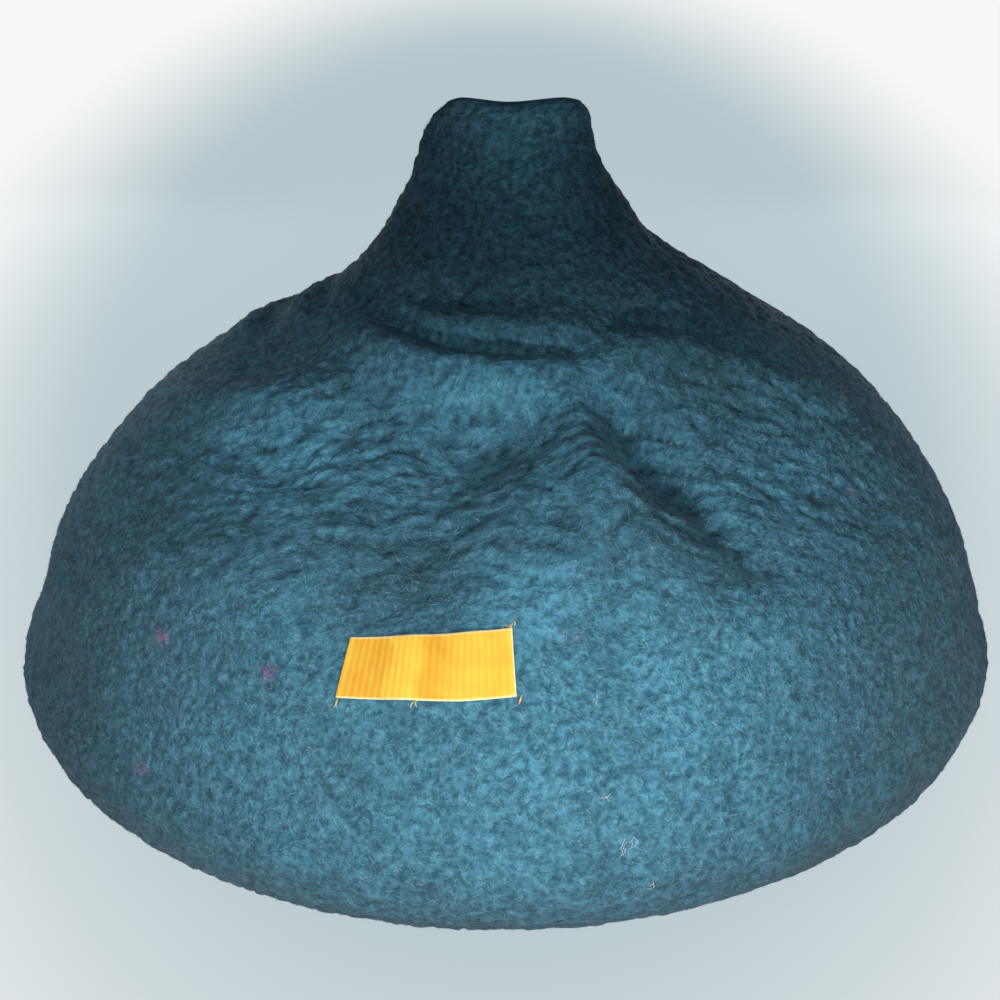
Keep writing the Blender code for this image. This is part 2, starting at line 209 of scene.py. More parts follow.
class SmoothNoise:
    """Repeatable gradient noise in three dimensions, about -1 to 1."""

    SIZE = 32
    GAIN = 1.6

    def __init__(self, seed: int) -> None:
        """Draw the lattice of gradients from a seed."""
        gradients = np.random.default_rng(seed).normal(size=(self.SIZE,) * 3 + (3,))
        self.gradients = gradients / np.linalg.norm(gradients, axis=-1, keepdims=True)

    def __call__(self, points: Array) -> Array:
        """Read the noise.

        Args:
            points: Places in lattice units, with their three coordinates last.

        Returns:
            One value for each place.
        """
        cell = np.floor(points).astype(int)
        inside = points - cell
        ease = inside**3 * (inside * (inside * 6 - 15) + 10)
        total = np.zeros(points.shape[:-1])
        for corner in np.ndindex(2, 2, 2):
            offset = np.array(corner)
            where = (cell + offset) % self.SIZE
            gradient = self.gradients[where[..., 0], where[..., 1], where[..., 2]]
            weight = np.prod(np.where(offset == 1, ease, 1 - ease), axis=-1)
            total += weight * np.sum(gradient * (inside - offset), axis=-1)
        return total * self.GAIN


@dataclass(frozen=True)
class Level:
    """One level of the wall: an oval round its own centre, in millimetres.

    Squareness 2 is an ellipse, and more is squarer.
    """

    height: float
    half_width: float
    half_front: float
    half_back: float
    centre_x: float
    centre_y: float
    squareness: float


@dataclass(frozen=True)
class Swell:
    """A broad swell of the wall, or a hollow where its height is negative."""

    azimuth: float
    up: float
    height: float
    reach_round: float
    reach_up: float


@dataclass(frozen=True)
class Fold:
    """A ridge, or a trough where its heights are negative, along a line.

    Each point of the line has its azimuth, its up and the felt's height there.
    """

    name: str
    half_width: float
    points: tuple[Triple, ...]


LEVELS = tuple(Level(*row) for row in (
    (0, 200, 200, 200, 0.0, 0, 2.0), (5, 211, 211, 211, 0.3, 0, 2.0),
    (13, 223, 223, 223, 0.6, 0, 2.0), (27, 236.5, 236.5, 236.5, 1.0, 0, 2.0),
    (48, 243.5, 243.5, 243.5, 1.2, 0, 2.0), (80, 236, 236, 236, 3.2, 0, 2.0),
    (112, 225, 225, 225, 4.2, 0, 2.0), (144, 205.5, 205.5, 205.5, 5.6, 0, 2.0),
    (171, 182.5, 182.5, 182.5, 7.4, 0, 2.0), (192, 156.5, 156.5, 156.5, 10.0, 0, 2.0),
    (208, 130, 130, 128, 14.0, 0, 2.0), (224, 106.5, 104, 102, 14.8, 0, 2.0),
    (240, 86, 80, 78, 12.2, 0, 2.0), (256, 69, 59, 57, 8.8, 1, 2.1),
    (272, 57.2, 42, 40, 6.6, 2, 2.2), (289, 47.2, 28, 26, 4.8, 3, 2.4),
    (304, 41.2, 17, 16, 3.4, 4, 2.6), (315, 38.0, 10, 10, 3.8, 4, 2.8),
    (321, 34.5, 7, 7, 4.2, 4, 2.8), (324.3, 28.0, 4.5, 4.5, 4.2, 4, 2.6),
))

SWELLS = (
    # The full belly, low on the front
    Swell(8, 104, 4.0, 105, 46),
    Swell(-38, 172, 4.0, 52, 30),
    Swell(44, 150, 2.5, 50, 34),
    # The flanks, wavy along their outline
    Swell(-84, 96, -2.5, 60, 26),
    Swell(82, 60, 3.0, 50, 24),
    Swell(60, 20, 2.5, 45, 20),
    # The two humps on the left shoulder
    Swell(-104, 262, 6.0, 30, 13),
    Swell(-98, 296, 5.0, 26, 10),
    # The right shoulder, drawn in where the neck begins
    Swell(96, 352, -2.5, 26, 16),
    # The far side, pushed out over the entrance
    Swell(180, 232, 7.0, 95, 26),
    Swell(138, 205, -5.0, 45, 40),
    Swell(-146, 215, -4.0, 50, 36),
)

FOLDS = (
    Fold("dent below the shoulder", 27, (
        (-72, 200, -0.5), (-53, 226, -1.5), (-32, 256, -4.0), (-14, 276, -9.0), (2, 281, -9.0),
        (18, 274, -8.5), (32, 254, -8.0), (45, 230, -6.0), (62, 204, -2.0))),
    Fold("crest of the left shoulder", 18, (
        (-38, 300, 3.0), (-50, 281, 7.5), (-61, 258, 8.0), (-76, 236, 3.0))),
    Fold("valley left of the ridge", 24, (
        (-6, 304, -1.5), (-9, 290, -7.0), (-12, 270, -11.0), (-13, 244, -11.0),
        (-14, 218, -9.0), (-15, 196, -6.0), (-17, 176, -1.0))),
    Fold("ridge down the middle of the dent", 15, (
        (7, 304, 2.0), (9, 290, 8.5), (11, 272, 13.0), (12, 250, 12.0), (11, 224, 9.5),
        (7, 202, 9.0), (4, 184, 4.0), (4, 172, 0.5))),
    Fold("spur on the right of the ridge", 13, (
        (13, 258, 1.0), (16, 238, 5.0), (18, 218, 6.0), (19, 202, 3.0), (20, 190, 0.5))),
    Fold("valley right of the ridge", 13, (
        (13, 304, -1.5), (17, 286, -7.0), (22, 262, -10.5), (28, 238, -10.5), (31, 216, -8.5),
        (33, 198, -5.0), (38, 180, -1.0))),
    Fold("brow of the belly", 20, (
        (10, 186, 1.0), (22, 182, 5.5), (32, 172, 3.5), (44, 160, 1.0))),
    Fold("brow of the left flank", 22, (
        (-26, 172, 1.0), (-38, 182, 5.0), (-50, 178, 3.5), (-62, 168, 1.0))),
    Fold("left lip", 12, (
        (-66, 312, 2.0), (-42, 308, 8.0), (-24, 307, 10.0), (-4, 307, 9.5), (14, 307, 3.5),
        (30, 309, 4.0))),
    Fold("left crease above the lip", 6.5, (
        (-62, 327, -3.5), (-41, 322, -7.5), (-26, 318, -8.5), (-3, 318.5, -8.0),
        (14, 319, -3.0))),
    Fold("roll between the creases", 8, (
        (-52, 331, 1.0), (-30, 328, 3.5), (-6, 329, 3.5), (12, 330, 1.5))),
    Fold("upper crease at the foot of the neck", 8, (
        (-64, 336, -2.0), (-22, 341, -3.5), (12, 341, -2.5), (34, 338, -1.0))),
    Fold("right lip", 12, (
        (30, 314, 4.0), (43, 310, 7.5), (52, 295, 7.0), (63, 270, 5.0), (76, 246, 1.5))),
    Fold("right crease above the lip", 7.5, (
        (30, 328, -3.0), (42, 325, -7.5), (50, 314, -8.0), (59, 299, -5.5), (72, 277, -1.0))),
    Fold("crease on the left flank", 10, (
        (-56, 238, -1.0), (-44, 240, -2.5), (-32, 236, -2.5), (-22, 230, -1.0))),
    Fold("groove low on the right", 8, (
        (11, 122, -0.5), (11, 100, -3.0), (12, 72, -2.5), (12, 56, -0.5))),
    Fold("groove far to the right", 8, (
        (24, 110, -0.5), (26, 88, -2.5), (26, 62, -1.5))),
    Fold("groove low on the left", 8, (
        (-8, 104, -0.5), (-7, 82, -2.5), (-8, 56, -1.5))),
)


@dataclass(frozen=True)
class Crinkles:
    """The fine wrinkles that felt keeps from being rolled and dented.

    They are puffs between narrow crevices, longer along the wall than up it, and
    arch over the middle of the front. Sizes are in millimetres.
    """

    puff_height: float = 9.0
    puff_length: float = 25.0
    # The smaller puffs' length and height, as shares of the large ones'
    small_length: float = 0.55
    small_height: float = 0.6
    # How much of a crease comes from the large puffs and from the small ones
    creases_from: Pair = (0.62, 0.38)
    # How steeply a puff falls to its crease, and with which power
    puff_edge: Pair = (2.4, 0.8)
    small_edge: Pair = (2.2, 0.85)
    depth_in_dent: float = 3.3
    depth_elsewhere: float = 1.2
    dent_azimuth: float = 4.0
    dent_up: float = 246.0
    dent_reach_up: float = 66.0
    dent_reach_degrees: float = 72.0
    pebble: float = 8.0
    pebble_depth: float = 1.2
    warp: float = 8.0
    warp_size: float = 30.0
    under_label_share: float = 0.15
    # They fade out within these distances of the base's edge and of the tip
    fade: Pair = (2, 16)
    lean_azimuths: tuple[float, ...] = (-180, -110, -60, -35, -15, 0, 20, 35, 50, 65, 85, 180)
    lean_heights: tuple[float, ...] = (-10, -88, -48, -16, -3, 0, -6, -26, -62, -100, -132, -10)


@dataclass(frozen=True)
class PaintedLightPatch:
    """A soft patch of painted light on the felt, which is painted shade where lighter is
    negative.
    """

    azimuth: float
    up: float
    half_degrees: float
    half_up: float
    lighter: float


# Patches of painted light, and of painted shade where lighter is negative
PAINTED_LIGHT_PATCHES = tuple(PaintedLightPatch(*row) for row in (
    (-12, 300, 30, 13, 0.62), (-42, 254, 16, 24, 0.45), (-45, 226, 12, 16, 0.35),
    (11, 254, 6, 20, 0.4), (5, 316, 12, 8, 0.3), (4, 192, 12, 18, 0.4), (12, 158, 8, 14, 0.2),
    (26, 164, 15, 22, 0.14), (10, 122, 20, 36, 0.26), (50, 222, 12, 26, 0.35),
    (12, 394, 36, 42, 0.7), (-14, 200, 9, 26, -0.48), (-25, 232, 8, 20, -0.15),
    (-33, 196, 6, 14, -0.25), (19, 216, 6, 16, -0.3), (37, 205, 10, 22, -0.2),
    (48, 297, 14, 18, -0.3), (0, 349, 95, 20, -0.34), (-60, 105, 18, 75, -0.3),
    (-48, 60, 16, 34, -0.2), (52, 100, 16, 70, -0.22), (44, 48, 14, 28, -0.25),
    (0, 8, 75, 50, -0.4),
))


class FeltWall:
    """The shape of the felt wall, with its swells, folds and crinkles."""

    NORMAL_STEP_DEGREES = 0.2
    NORMAL_STEP_UP = 0.3
    RELIEF_STARTS_UP = 6.0
    RELIEF_FULL_UP = 40.0
    TIP_DIP_DEPTH = 2.8
    TIP_DIP_HALF_WIDTH = 16.0
    TIP_DIP_FROM_UP = 386.0
    TIP_CORNER_DEPTH = (4.0, 2.5)
    TIP_CORNER_FROM = 19.0
    TIP_CORNER_WIDTH = 13.0
    TIP_CORNER_LIMIT = 1.2
    TIP_SPREAD = (1.5, 6.0)
    TIP_HALF_WIDTH = 28.0
    LABEL_AZIMUTH = -9.7
    LABEL_HALF_DEGREES = (10.2, 12.5)
    LABEL_UP = 163.0
    LABEL_RISE = 0.3
    LABEL_HALF_UP = (14.0, 21.0)

    def __init__(self, crinkles: Crinkles) -> None:
        """Measure the wall and prepare its noise."""
        self.crinkles = crinkles
        self.puffs = SmoothNoise(11)
        self.small_puffs = SmoothNoise(12)
        self.pebbles = SmoothNoise(13)
        self.bends = SmoothNoise(14)
        heights = np.array([row.height for row in LEVELS])
        widths = np.array([row.half_width for row in LEVELS])
        steps = np.hypot(np.diff(heights), np.diff(widths))
        self.stations = np.concatenate([[0], np.cumsum(steps)])
        self.length = float(self.stations[-1])
        self.columns = {name: self._cubic(name) for name in Level.__dataclass_fields__}

    def _cubic(self, column: str) -> Grids:
        """Values and overshoot-free slopes of one column of LEVELS."""
        values = np.array([getattr(row, column) for row in LEVELS], dtype=float)
        gaps = np.diff(self.stations)
        slopes = np.diff(values) / gaps
        before, after = slopes[:-1], slopes[1:]
        weight_before = 2 * gaps[1:] + gaps[:-1]
        weight_after = gaps[1:] + 2 * gaps[:-1]
        same_way = before * after > 0
        safe_before = np.where(same_way, before, 1.0)
        safe_after = np.where(same_way, after, 1.0)
        middle = (weight_before + weight_after) / (
            weight_before / safe_before + weight_after / safe_after)
        inner = np.where(same_way, middle, 0.0)
        return values, np.concatenate([[slopes[0]], inner, [slopes[-1]]])

    def read(self, column: str, up: Array) -> Array:
        """Smooth value of one column of LEVELS at distances up the wall.

        Args:
            column: Field of Level.
            up: Distances up the wall, in millimetres.

        Returns:
            One value for each distance.
        """
        values, slopes = self.columns[column]
        row = np.clip(np.searchsorted(self.stations, up) - 1, 0, len(values) - 2)
        gap = self.stations[row + 1] - self.stations[row]
        t = (up - self.stations[row]) / gap
        return ((2 * t**3 - 3 * t**2 + 1) * values[row]
                + (t**3 - 2 * t**2 + t) * gap * slopes[row]
                + (3 * t**2 - 2 * t**3) * values[row + 1]
                + (t**3 - t**2) * gap * slopes[row + 1])

    def girth(self, up: Array) -> Array:
        """Millimetres round the wall for each degree."""
        return self.read("half_width", up) * math.pi / 180

    def plain(self, azimuth: Array, up: Array) -> Array:
        """Points of the wall without swells, folds and crinkles, in millimetres."""
        angle = np.radians(azimuth)
        power = 2 / self.read("squareness", up)
        across = np.sign(np.sin(angle)) * np.abs(np.sin(angle)) ** power
        forward = np.sign(np.cos(angle)) * np.abs(np.cos(angle)) ** power
        depth = np.where(forward > 0, self.read("half_front", up), self.read("half_back", up))
        x = self.read("centre_x", up) + self.read("half_width", up) * across
        y = self.read("centre_y", up) - depth * forward
        return np.stack([x, y, self.read("height", up)], axis=-1)

    def normal(self, azimuth: Array, up: Array) -> Array:
        """Outward unit normals of the plain wall."""
        low = np.clip(up - self.NORMAL_STEP_UP, 0, self.length)
        high = np.clip(up + self.NORMAL_STEP_UP, 0, self.length)
        turn = self.NORMAL_STEP_DEGREES
        round_wall = self.plain(azimuth + turn, up) - self.plain(azimuth - turn, up)
        up_wall = self.plain(azimuth, high) - self.plain(azimuth, low)
        normal = np.cross(round_wall, up_wall)
        return normal / np.linalg.norm(normal, axis=-1, keepdims=True)

    @staticmethod
    def turn(azimuth: Array, centre: float) -> Array:
        """Signed turn from centre to azimuth, the short way round, in degrees."""
        return (azimuth - centre + 180) % 360 - 180

    def _fold(self, fold: Fold, azimuth: Array, up: Array, widen: float) -> Array:
        """Height of one fold, from the distance to the nearest point of its line."""
        girth = self.girth(up)
        nearest = np.full(np.shape(azimuth), np.inf)
        height = np.zeros(np.shape(azimuth))
        for (azimuth_a, up_a, height_a), (azimuth_b, up_b, height_b) in zip(
                fold.points, fold.points[1:]):
            run = (azimuth_b - azimuth_a) * girth
            rise = up_b - up_a
            across = self.turn(azimuth, azimuth_a) * girth
            along = up - up_a
            share = np.clip((across * run + along * rise) / (run**2 + rise**2), 0, 1)
            distance = np.hypot(across - share * run, along - share * rise)
            closer = distance < nearest
            nearest = np.where(closer, distance, nearest)
            height = np.where(closer, height_a + share * (height_b - height_a), height)
        half_width = fold.half_width + np.where(height < 0, widen, 0)
        return height * np.exp(-(nearest / half_width) ** 2)

    def relief(self, azimuth: Array, up: Array, widen: float = 0.0) -> Array:
        """Height of all swells and folds, in millimetres."""
        girth = self.girth(up)
        total = np.zeros(np.shape(azimuth))
        for swell in SWELLS:
            across = self.turn(azimuth, swell.azimuth) * girth / swell.reach_round
            along = (up - swell.up) / swell.reach_up
            total = total + swell.height * np.exp(-across**2 - along**2)
        for fold in FOLDS:
            total = total + self._fold(fold, azimuth, up, widen)
        return total * smooth_step(up, self.RELIEF_STARTS_UP, self.RELIEF_FULL_UP)

    def level(self, azimuth: Array, up: Array) -> Array:
        """Height above a crinkle that arches past the front, bent a little, in millimetres."""
        c = self.crinkles
        lean = np.interp(self.turn(azimuth, 0), c.lean_azimuths, c.lean_heights)
        return up - lean + self.bends(self.plain(azimuth, up) / c.warp_size) * c.warp

    def in_dent(self, azimuth: Array, up: Array) -> Array:
        """1 in the crinkled dent and 0 away from it."""
        c = self.crinkles
        return np.exp(-((self.turn(azimuth, c.dent_azimuth) / c.dent_reach_degrees) ** 4)
                      - ((up - c.dent_up) / c.dent_reach_up) ** 4)

    def crevices(self, azimuth: Array, up: Array) -> Grids:
        """How near each place is to the bottom of a crinkle and of a pit, from 0 to 1."""
        c = self.crinkles
        place = self.plain(azimuth, up)
        level = self.level(azimuth, up)
        wide = place / c.puff_length
        wide[..., 2] = level / c.puff_height
        tight = place / (c.puff_length * c.small_length)
        tight[..., 2] = level / (c.puff_height * c.small_height)
        puffs, small, pits = (
            1 - np.minimum(np.abs(noise(at)) * steep, 1) ** power
            for noise, at, (steep, power) in (
                (self.puffs, wide, c.puff_edge), (self.small_puffs, tight, c.small_edge),
                (self.pebbles, place / c.pebble, c.small_edge)))
        return c.creases_from[0] * puffs + c.creases_from[1] * small, pits

    def crinkle(self, azimuth: Array, up: Array) -> Array:
        """Height of the fine wrinkles and pebbling, never above zero, in millimetres."""
        c = self.crinkles
        creases, pits = self.crevices(azimuth, up)
        deeper = c.depth_in_dent - c.depth_elsewhere
        depth = c.depth_elsewhere + deeper * self.in_dent(azimuth, up)
        total = -creases * depth - pits * c.pebble_depth
        calm = 1 - (1 - c.under_label_share) * self.label_cover(azimuth, up)
        near, far = c.fade
        fade = smooth_step(up, near, far) * (1 - smooth_step(up, self.length - far, self.length))
        return total * calm * fade

    def painted_light(self, azimuth: Array, up: Array) -> Array:
        """Painted light and shade on the felt, as a factor around 1."""
        shade = np.ones_like(up)
        for patch in PAINTED_LIGHT_PATCHES:
            off = (self.turn(azimuth, patch.azimuth) / patch.half_degrees) ** 2
            shade = shade + patch.lighter * np.exp(
                -off - ((up - patch.up) / patch.half_up) ** 2)
        return shade

    def label_cover(self, azimuth: Array, up: Array) -> Array:
        """1 under the label, where it presses the wool flat, and 0 away from it."""
        off = azimuth - self.LABEL_AZIMUTH
        across = 1 - smooth_step(np.abs(off), *self.LABEL_HALF_DEGREES)
        along = 1 - smooth_step(
            np.abs(up - self.LABEL_UP - self.LABEL_RISE * off), *self.LABEL_HALF_UP)
        return across * along

    def face(self, azimuth: Array, up: Array, depth: float = 0.0,
             crinkled: bool = True) -> Array:
        """Points of the finished wall.

        Args:
            azimuth: Degrees from the front.
            up: Millimetres up the wall.
            depth: How far inside the outer face, in millimetres.
            crinkled: Whether the fine wrinkles are on it.

        Returns:
            Points in millimetres.
        """
        proud = self.relief(azimuth, up, depth) - depth
        if crinkled:
            proud = proud + self.crinkle(azimuth, up) + 0.5 * self.crinkles.pebble_depth
        points = self.plain(azimuth, up) + self.normal(azimuth, up) * proud[..., None]
        share = np.clip((up - self.TIP_DIP_FROM_UP) / (self.length - self.TIP_DIP_FROM_UP), 0, 1)
        off_middle = points[..., 0] - LEVELS[-1].centre_x
        dip = np.exp(-(off_middle / self.TIP_DIP_HALF_WIDTH) ** 2)
        corner = np.clip((np.abs(off_middle) - self.TIP_CORNER_FROM)
                         / self.TIP_CORNER_WIDTH, 0, self.TIP_CORNER_LIMIT) ** 2
        depth_there = np.where(off_middle < 0, *self.TIP_CORNER_DEPTH)
        spread = np.where(off_middle < 0, *self.TIP_SPREAD)
        points[..., 2] -= (self.TIP_DIP_DEPTH * dip + depth_there * corner) * share**2
        points[..., 0] += spread * np.clip(off_middle / self.TIP_HALF_WIDTH, -1, 1) * share**3
        return points


@dataclass(frozen=True)
class WoolFelt:
    """Hand-felted wool, dyed teal: wet-felted by rubbing, then dried on a form.

    It gives the eye a matt, slightly fuzzy surface. Pale fibre ends catch the
    light over a dark teal ground. The puffs' tops get a painted light colour,
    and the grain's hollows and the pits and crinkles between the puffs get
    painted shade; soft patches of painted light and shade lie over it all.
    """

    # pit is the colour of the painted shade in pits and crinkles, and lit the painted light on
    # the puffs' tops
    pit: str = "#0D2E3B"
    ground: str = "#20536A"
    lit: str = "#46839B"
    fibre: str = "#7FB0C0"
    roughness: float = 0.93
    sheen_weight: float = 0.04
    sheen_roughness: float = 0.45
    blotch_mm: float = 38.0
    pebble_mm: float = 3.6
    wrinkle_mm: Pair = (14.0, 5.0)
    grain_mm: float = 1.7
    # Single fibres are 0.03 mm thick and don't show, so streaks stand for locks of them
    streak_mm: float = 1.1
    streak_length_mm: float = 7.0
    puff_depth_mm: float = 2.8
    grain_depth_mm: float = 0.6
    # Each span goes from what the noise reads to how strongly that shows
    wrinkles_span: Span = (0.0, 1.0, 0.1, 0.6)
    painted_shading_span: Span = (0.36, 0.64, 0.0, 1.0)
    drift_span: Span = (0.35, 0.65, 0.88, 1.1)
    grain_shade_span: Span = (0.42, 0.3, 0.0, 0.6)
    fibre_span: Span = (0.6, 0.78, 0.0, 0.42)
    # The two ways in which the streaks are laid, as turns in radians
    streak_turns: tuple[Triple, Triple] = ((0.3, 0.2, 0.5), (-0.5, 0.9, -0.4))

    def material(self, name: str) -> bpy.types.Material:
        """Build the felt's material.

        Args:
            name: The material's name.

        Returns:
            The material.
        """
        paint = NodeMaterial(name)
        place = paint.place()
        lumps = paint.noise(place, 1000 / self.pebble_mm, 2.5, 0.55)
        grain = paint.noise(place, 1000 / self.grain_mm, 4.0, 0.7)
        x, y, _ = paint.axes(place)
        long, high = self.wrinkle_mm
        stretched = [paint.maths("MULTIPLY", source, scale) for source, scale in (
            (x, 1000 / long), (y, 1000 / long), (paint.attribute("level"), 1 / high))]
        along = add_node(paint.tree, "ShaderNodeCombineXYZ", dict(enumerate(stretched)))
        wrinkles = paint.noise(along.outputs[0], 1.0, 2.5)
        wrinkled = paint.span(paint.attribute("in_dent"), *self.wrinkles_span)
        puffs = add_node(paint.tree, "ShaderNodeMix", {
            "data_type": "FLOAT", 0: wrinkled, 2: lumps, 3: wrinkles}).outputs[0]
        streaks = []
        for turn in self.streak_turns:
            laid = add_node(paint.tree, "ShaderNodeMapping", {
                "vector_type": "TEXTURE", "Rotation": turn, "Vector": place,
                "Scale": (self.streak_length_mm / self.streak_mm, 1.0, 1.0)})
            streaks.append(paint.noise(laid.outputs[0], 1000 / self.streak_mm, 2.0))
        fibres = paint.span(paint.maths("MAXIMUM", *streaks), *self.fibre_span)
        # Painted light on the puffs' tops, with the ground colour in their hollows
        tone = paint.span(puffs, *self.painted_shading_span)
        ground = paint.mix(tone, linear(self.ground), linear(self.lit))
        blotch = paint.noise(place, 1000 / self.blotch_mm, 3.0)
        drift = paint.span(blotch, *self.drift_span)
        # Painted light and shade from the patches, over the wool's random drift
        drift_and_painted_light = paint.maths("MULTIPLY", drift, paint.attribute("painted_light"))
        blotched_and_painted_light = paint.mix(1.0, ground, drift_and_painted_light, "MULTIPLY")
        # Painted shade: the grain's hollows and the bottoms of crinkles and pits go towards the
        # pit colour
        grain_shade = paint.span(grain, *self.grain_shade_span)
        dark = paint.maths("MAXIMUM", grain_shade, paint.attribute("crevice_shade"))
        pit_shaded = paint.mix(dark, blotched_and_painted_light, linear(self.pit))
        coarse = paint.bump(puffs, self.puff_depth_mm)
        return paint.finish({
            "Base Color": paint.mix(fibres, pit_shaded, linear(self.fibre)),
            "Normal": paint.bump(grain, self.grain_depth_mm, Normal=coarse),
            "Roughness": self.roughness, "Sheen Weight": self.sheen_weight,
            "Sheen Roughness": self.sheen_roughness})


@dataclass(frozen=True)
class LooseWool:
    """Wool fibres that stand off the felt, in one shade of the dye lot.

    They give the eye a soft edge and fine light and dark hairs.
    """

    root: str
    tip: str
    patch_mm: float = 25.0
    roughness: float = 0.8

    def material(self, name: str) -> bpy.types.Material:
        """Build the fibres' material, whose shade drifts from patch to patch."""
        paint = NodeMaterial(name)
        patch = paint.noise(paint.place(), 1000 / self.patch_mm, 2.0)
        shade = paint.span(patch, 0.35, 0.65)
        return paint.finish({
            "Base Color": paint.mix(shade, linear(self.root), linear(self.tip)),
            "Roughness": self.roughness})


@dataclass(frozen=True)
class SatinRibbon:
    """Polyester ribbon, woven in satin with selvedges and dyed golden yellow.

    It gives the eye a soft sheen, painted light and shade that move over its
    puckers, fine ribs across its length, and paler bound edges.
    """

    # The satin's darker and lighter colours, mixed by its ribs, random wear and painted light and
    # shade over its puckers
    worn_and_shaded: str = "#DE9A06"
    lit: str = "#F7C93C"
    edge: str = "#FFF0B4"
    rib_mm: float = 3.0
    # Threads of 0.15 mm don't show, so the weave is drawn at twice that pitch
    thread_mm: float = 0.3
    edge_mm: float = 1.1
    edge_share: float = 0.85
    # The paler cut end, from and to these distances from it
    end_mm: Pair = (0.9, 0.4)
    end_share: float = 0.8
    rib_share: float = 0.25
    wear_span: Span = (0.3, 0.7, -0.15, 0.15)
    roughness: float = 0.46
    sheen_weight: float = 0.25
    specular: float = 0.45
    # Broad wear, a patch to about 6 mm
    wear_scale: float = 0.16
    weave_depth_mm: float = 0.08
    rib_depth_mm: float = 0.16

    def material(self, name: str, length: float, width: float) -> bpy.types.Material:
        """Build the ribbon's material.

        Args:
            name: The material's name.
            length: The ribbon's length between its cut ends, in millimetres.
            width: The ribbon's width across the selvedges, in millimetres.

        Returns:
            The material, which reads the ribbon's UV map in millimetres.
        """
        paint = NodeMaterial(name)
        place = add_node(paint.tree, "ShaderNodeUVMap", {"uv_map": "ribbon_mm"}).outputs[0]
        x, y, _ = paint.axes(place)
        rib = paint.wave(place, "X", self.rib_mm,
                         **{"Distortion": 1.5, "Detail": 1.0, "Detail Scale": 0.3})
        weave = paint.maths("MULTIPLY", *(paint.wave(place, way, self.thread_mm) for way in "XY"))
        worn = paint.span(paint.noise(place, self.wear_scale, 2.0), *self.wear_span)
        # Painted light and shade over the puckers, added to random wear
        wear_and_painted_shading = paint.maths("ADD", worn, paint.attribute("tone"))
        ribs_wear_and_painted_shading = paint.maths("MULTIPLY_ADD", rib, self.rib_share, wear_and_painted_shading)
        cloth = paint.mix(ribs_wear_and_painted_shading, linear(self.worn_and_shaded), linear(self.lit))
        half = width / 2
        from_middle = paint.maths("ABSOLUTE", paint.maths("SUBTRACT", y, half))
        selvage = paint.span(
            from_middle, half - self.edge_mm, half - 0.3 * self.edge_mm, 0.0,
            self.edge_share)
        start, end = self.end_mm
        cut_end = paint.span(x, length - start, length - end, 0.0, self.end_share)
        bound = paint.maths("MAXIMUM", selvage, cut_end)
        ribs = paint.bump(rib, self.rib_depth_mm)
        return paint.finish({
            "Base Color": paint.mix(bound, cloth, linear(self.edge)),
            "Normal": paint.bump(weave, self.weave_depth_mm, Normal=ribs),
            "Roughness": self.roughness, "Sheen Weight": self.sheen_weight,
            "Specular IOR Level": self.specular})


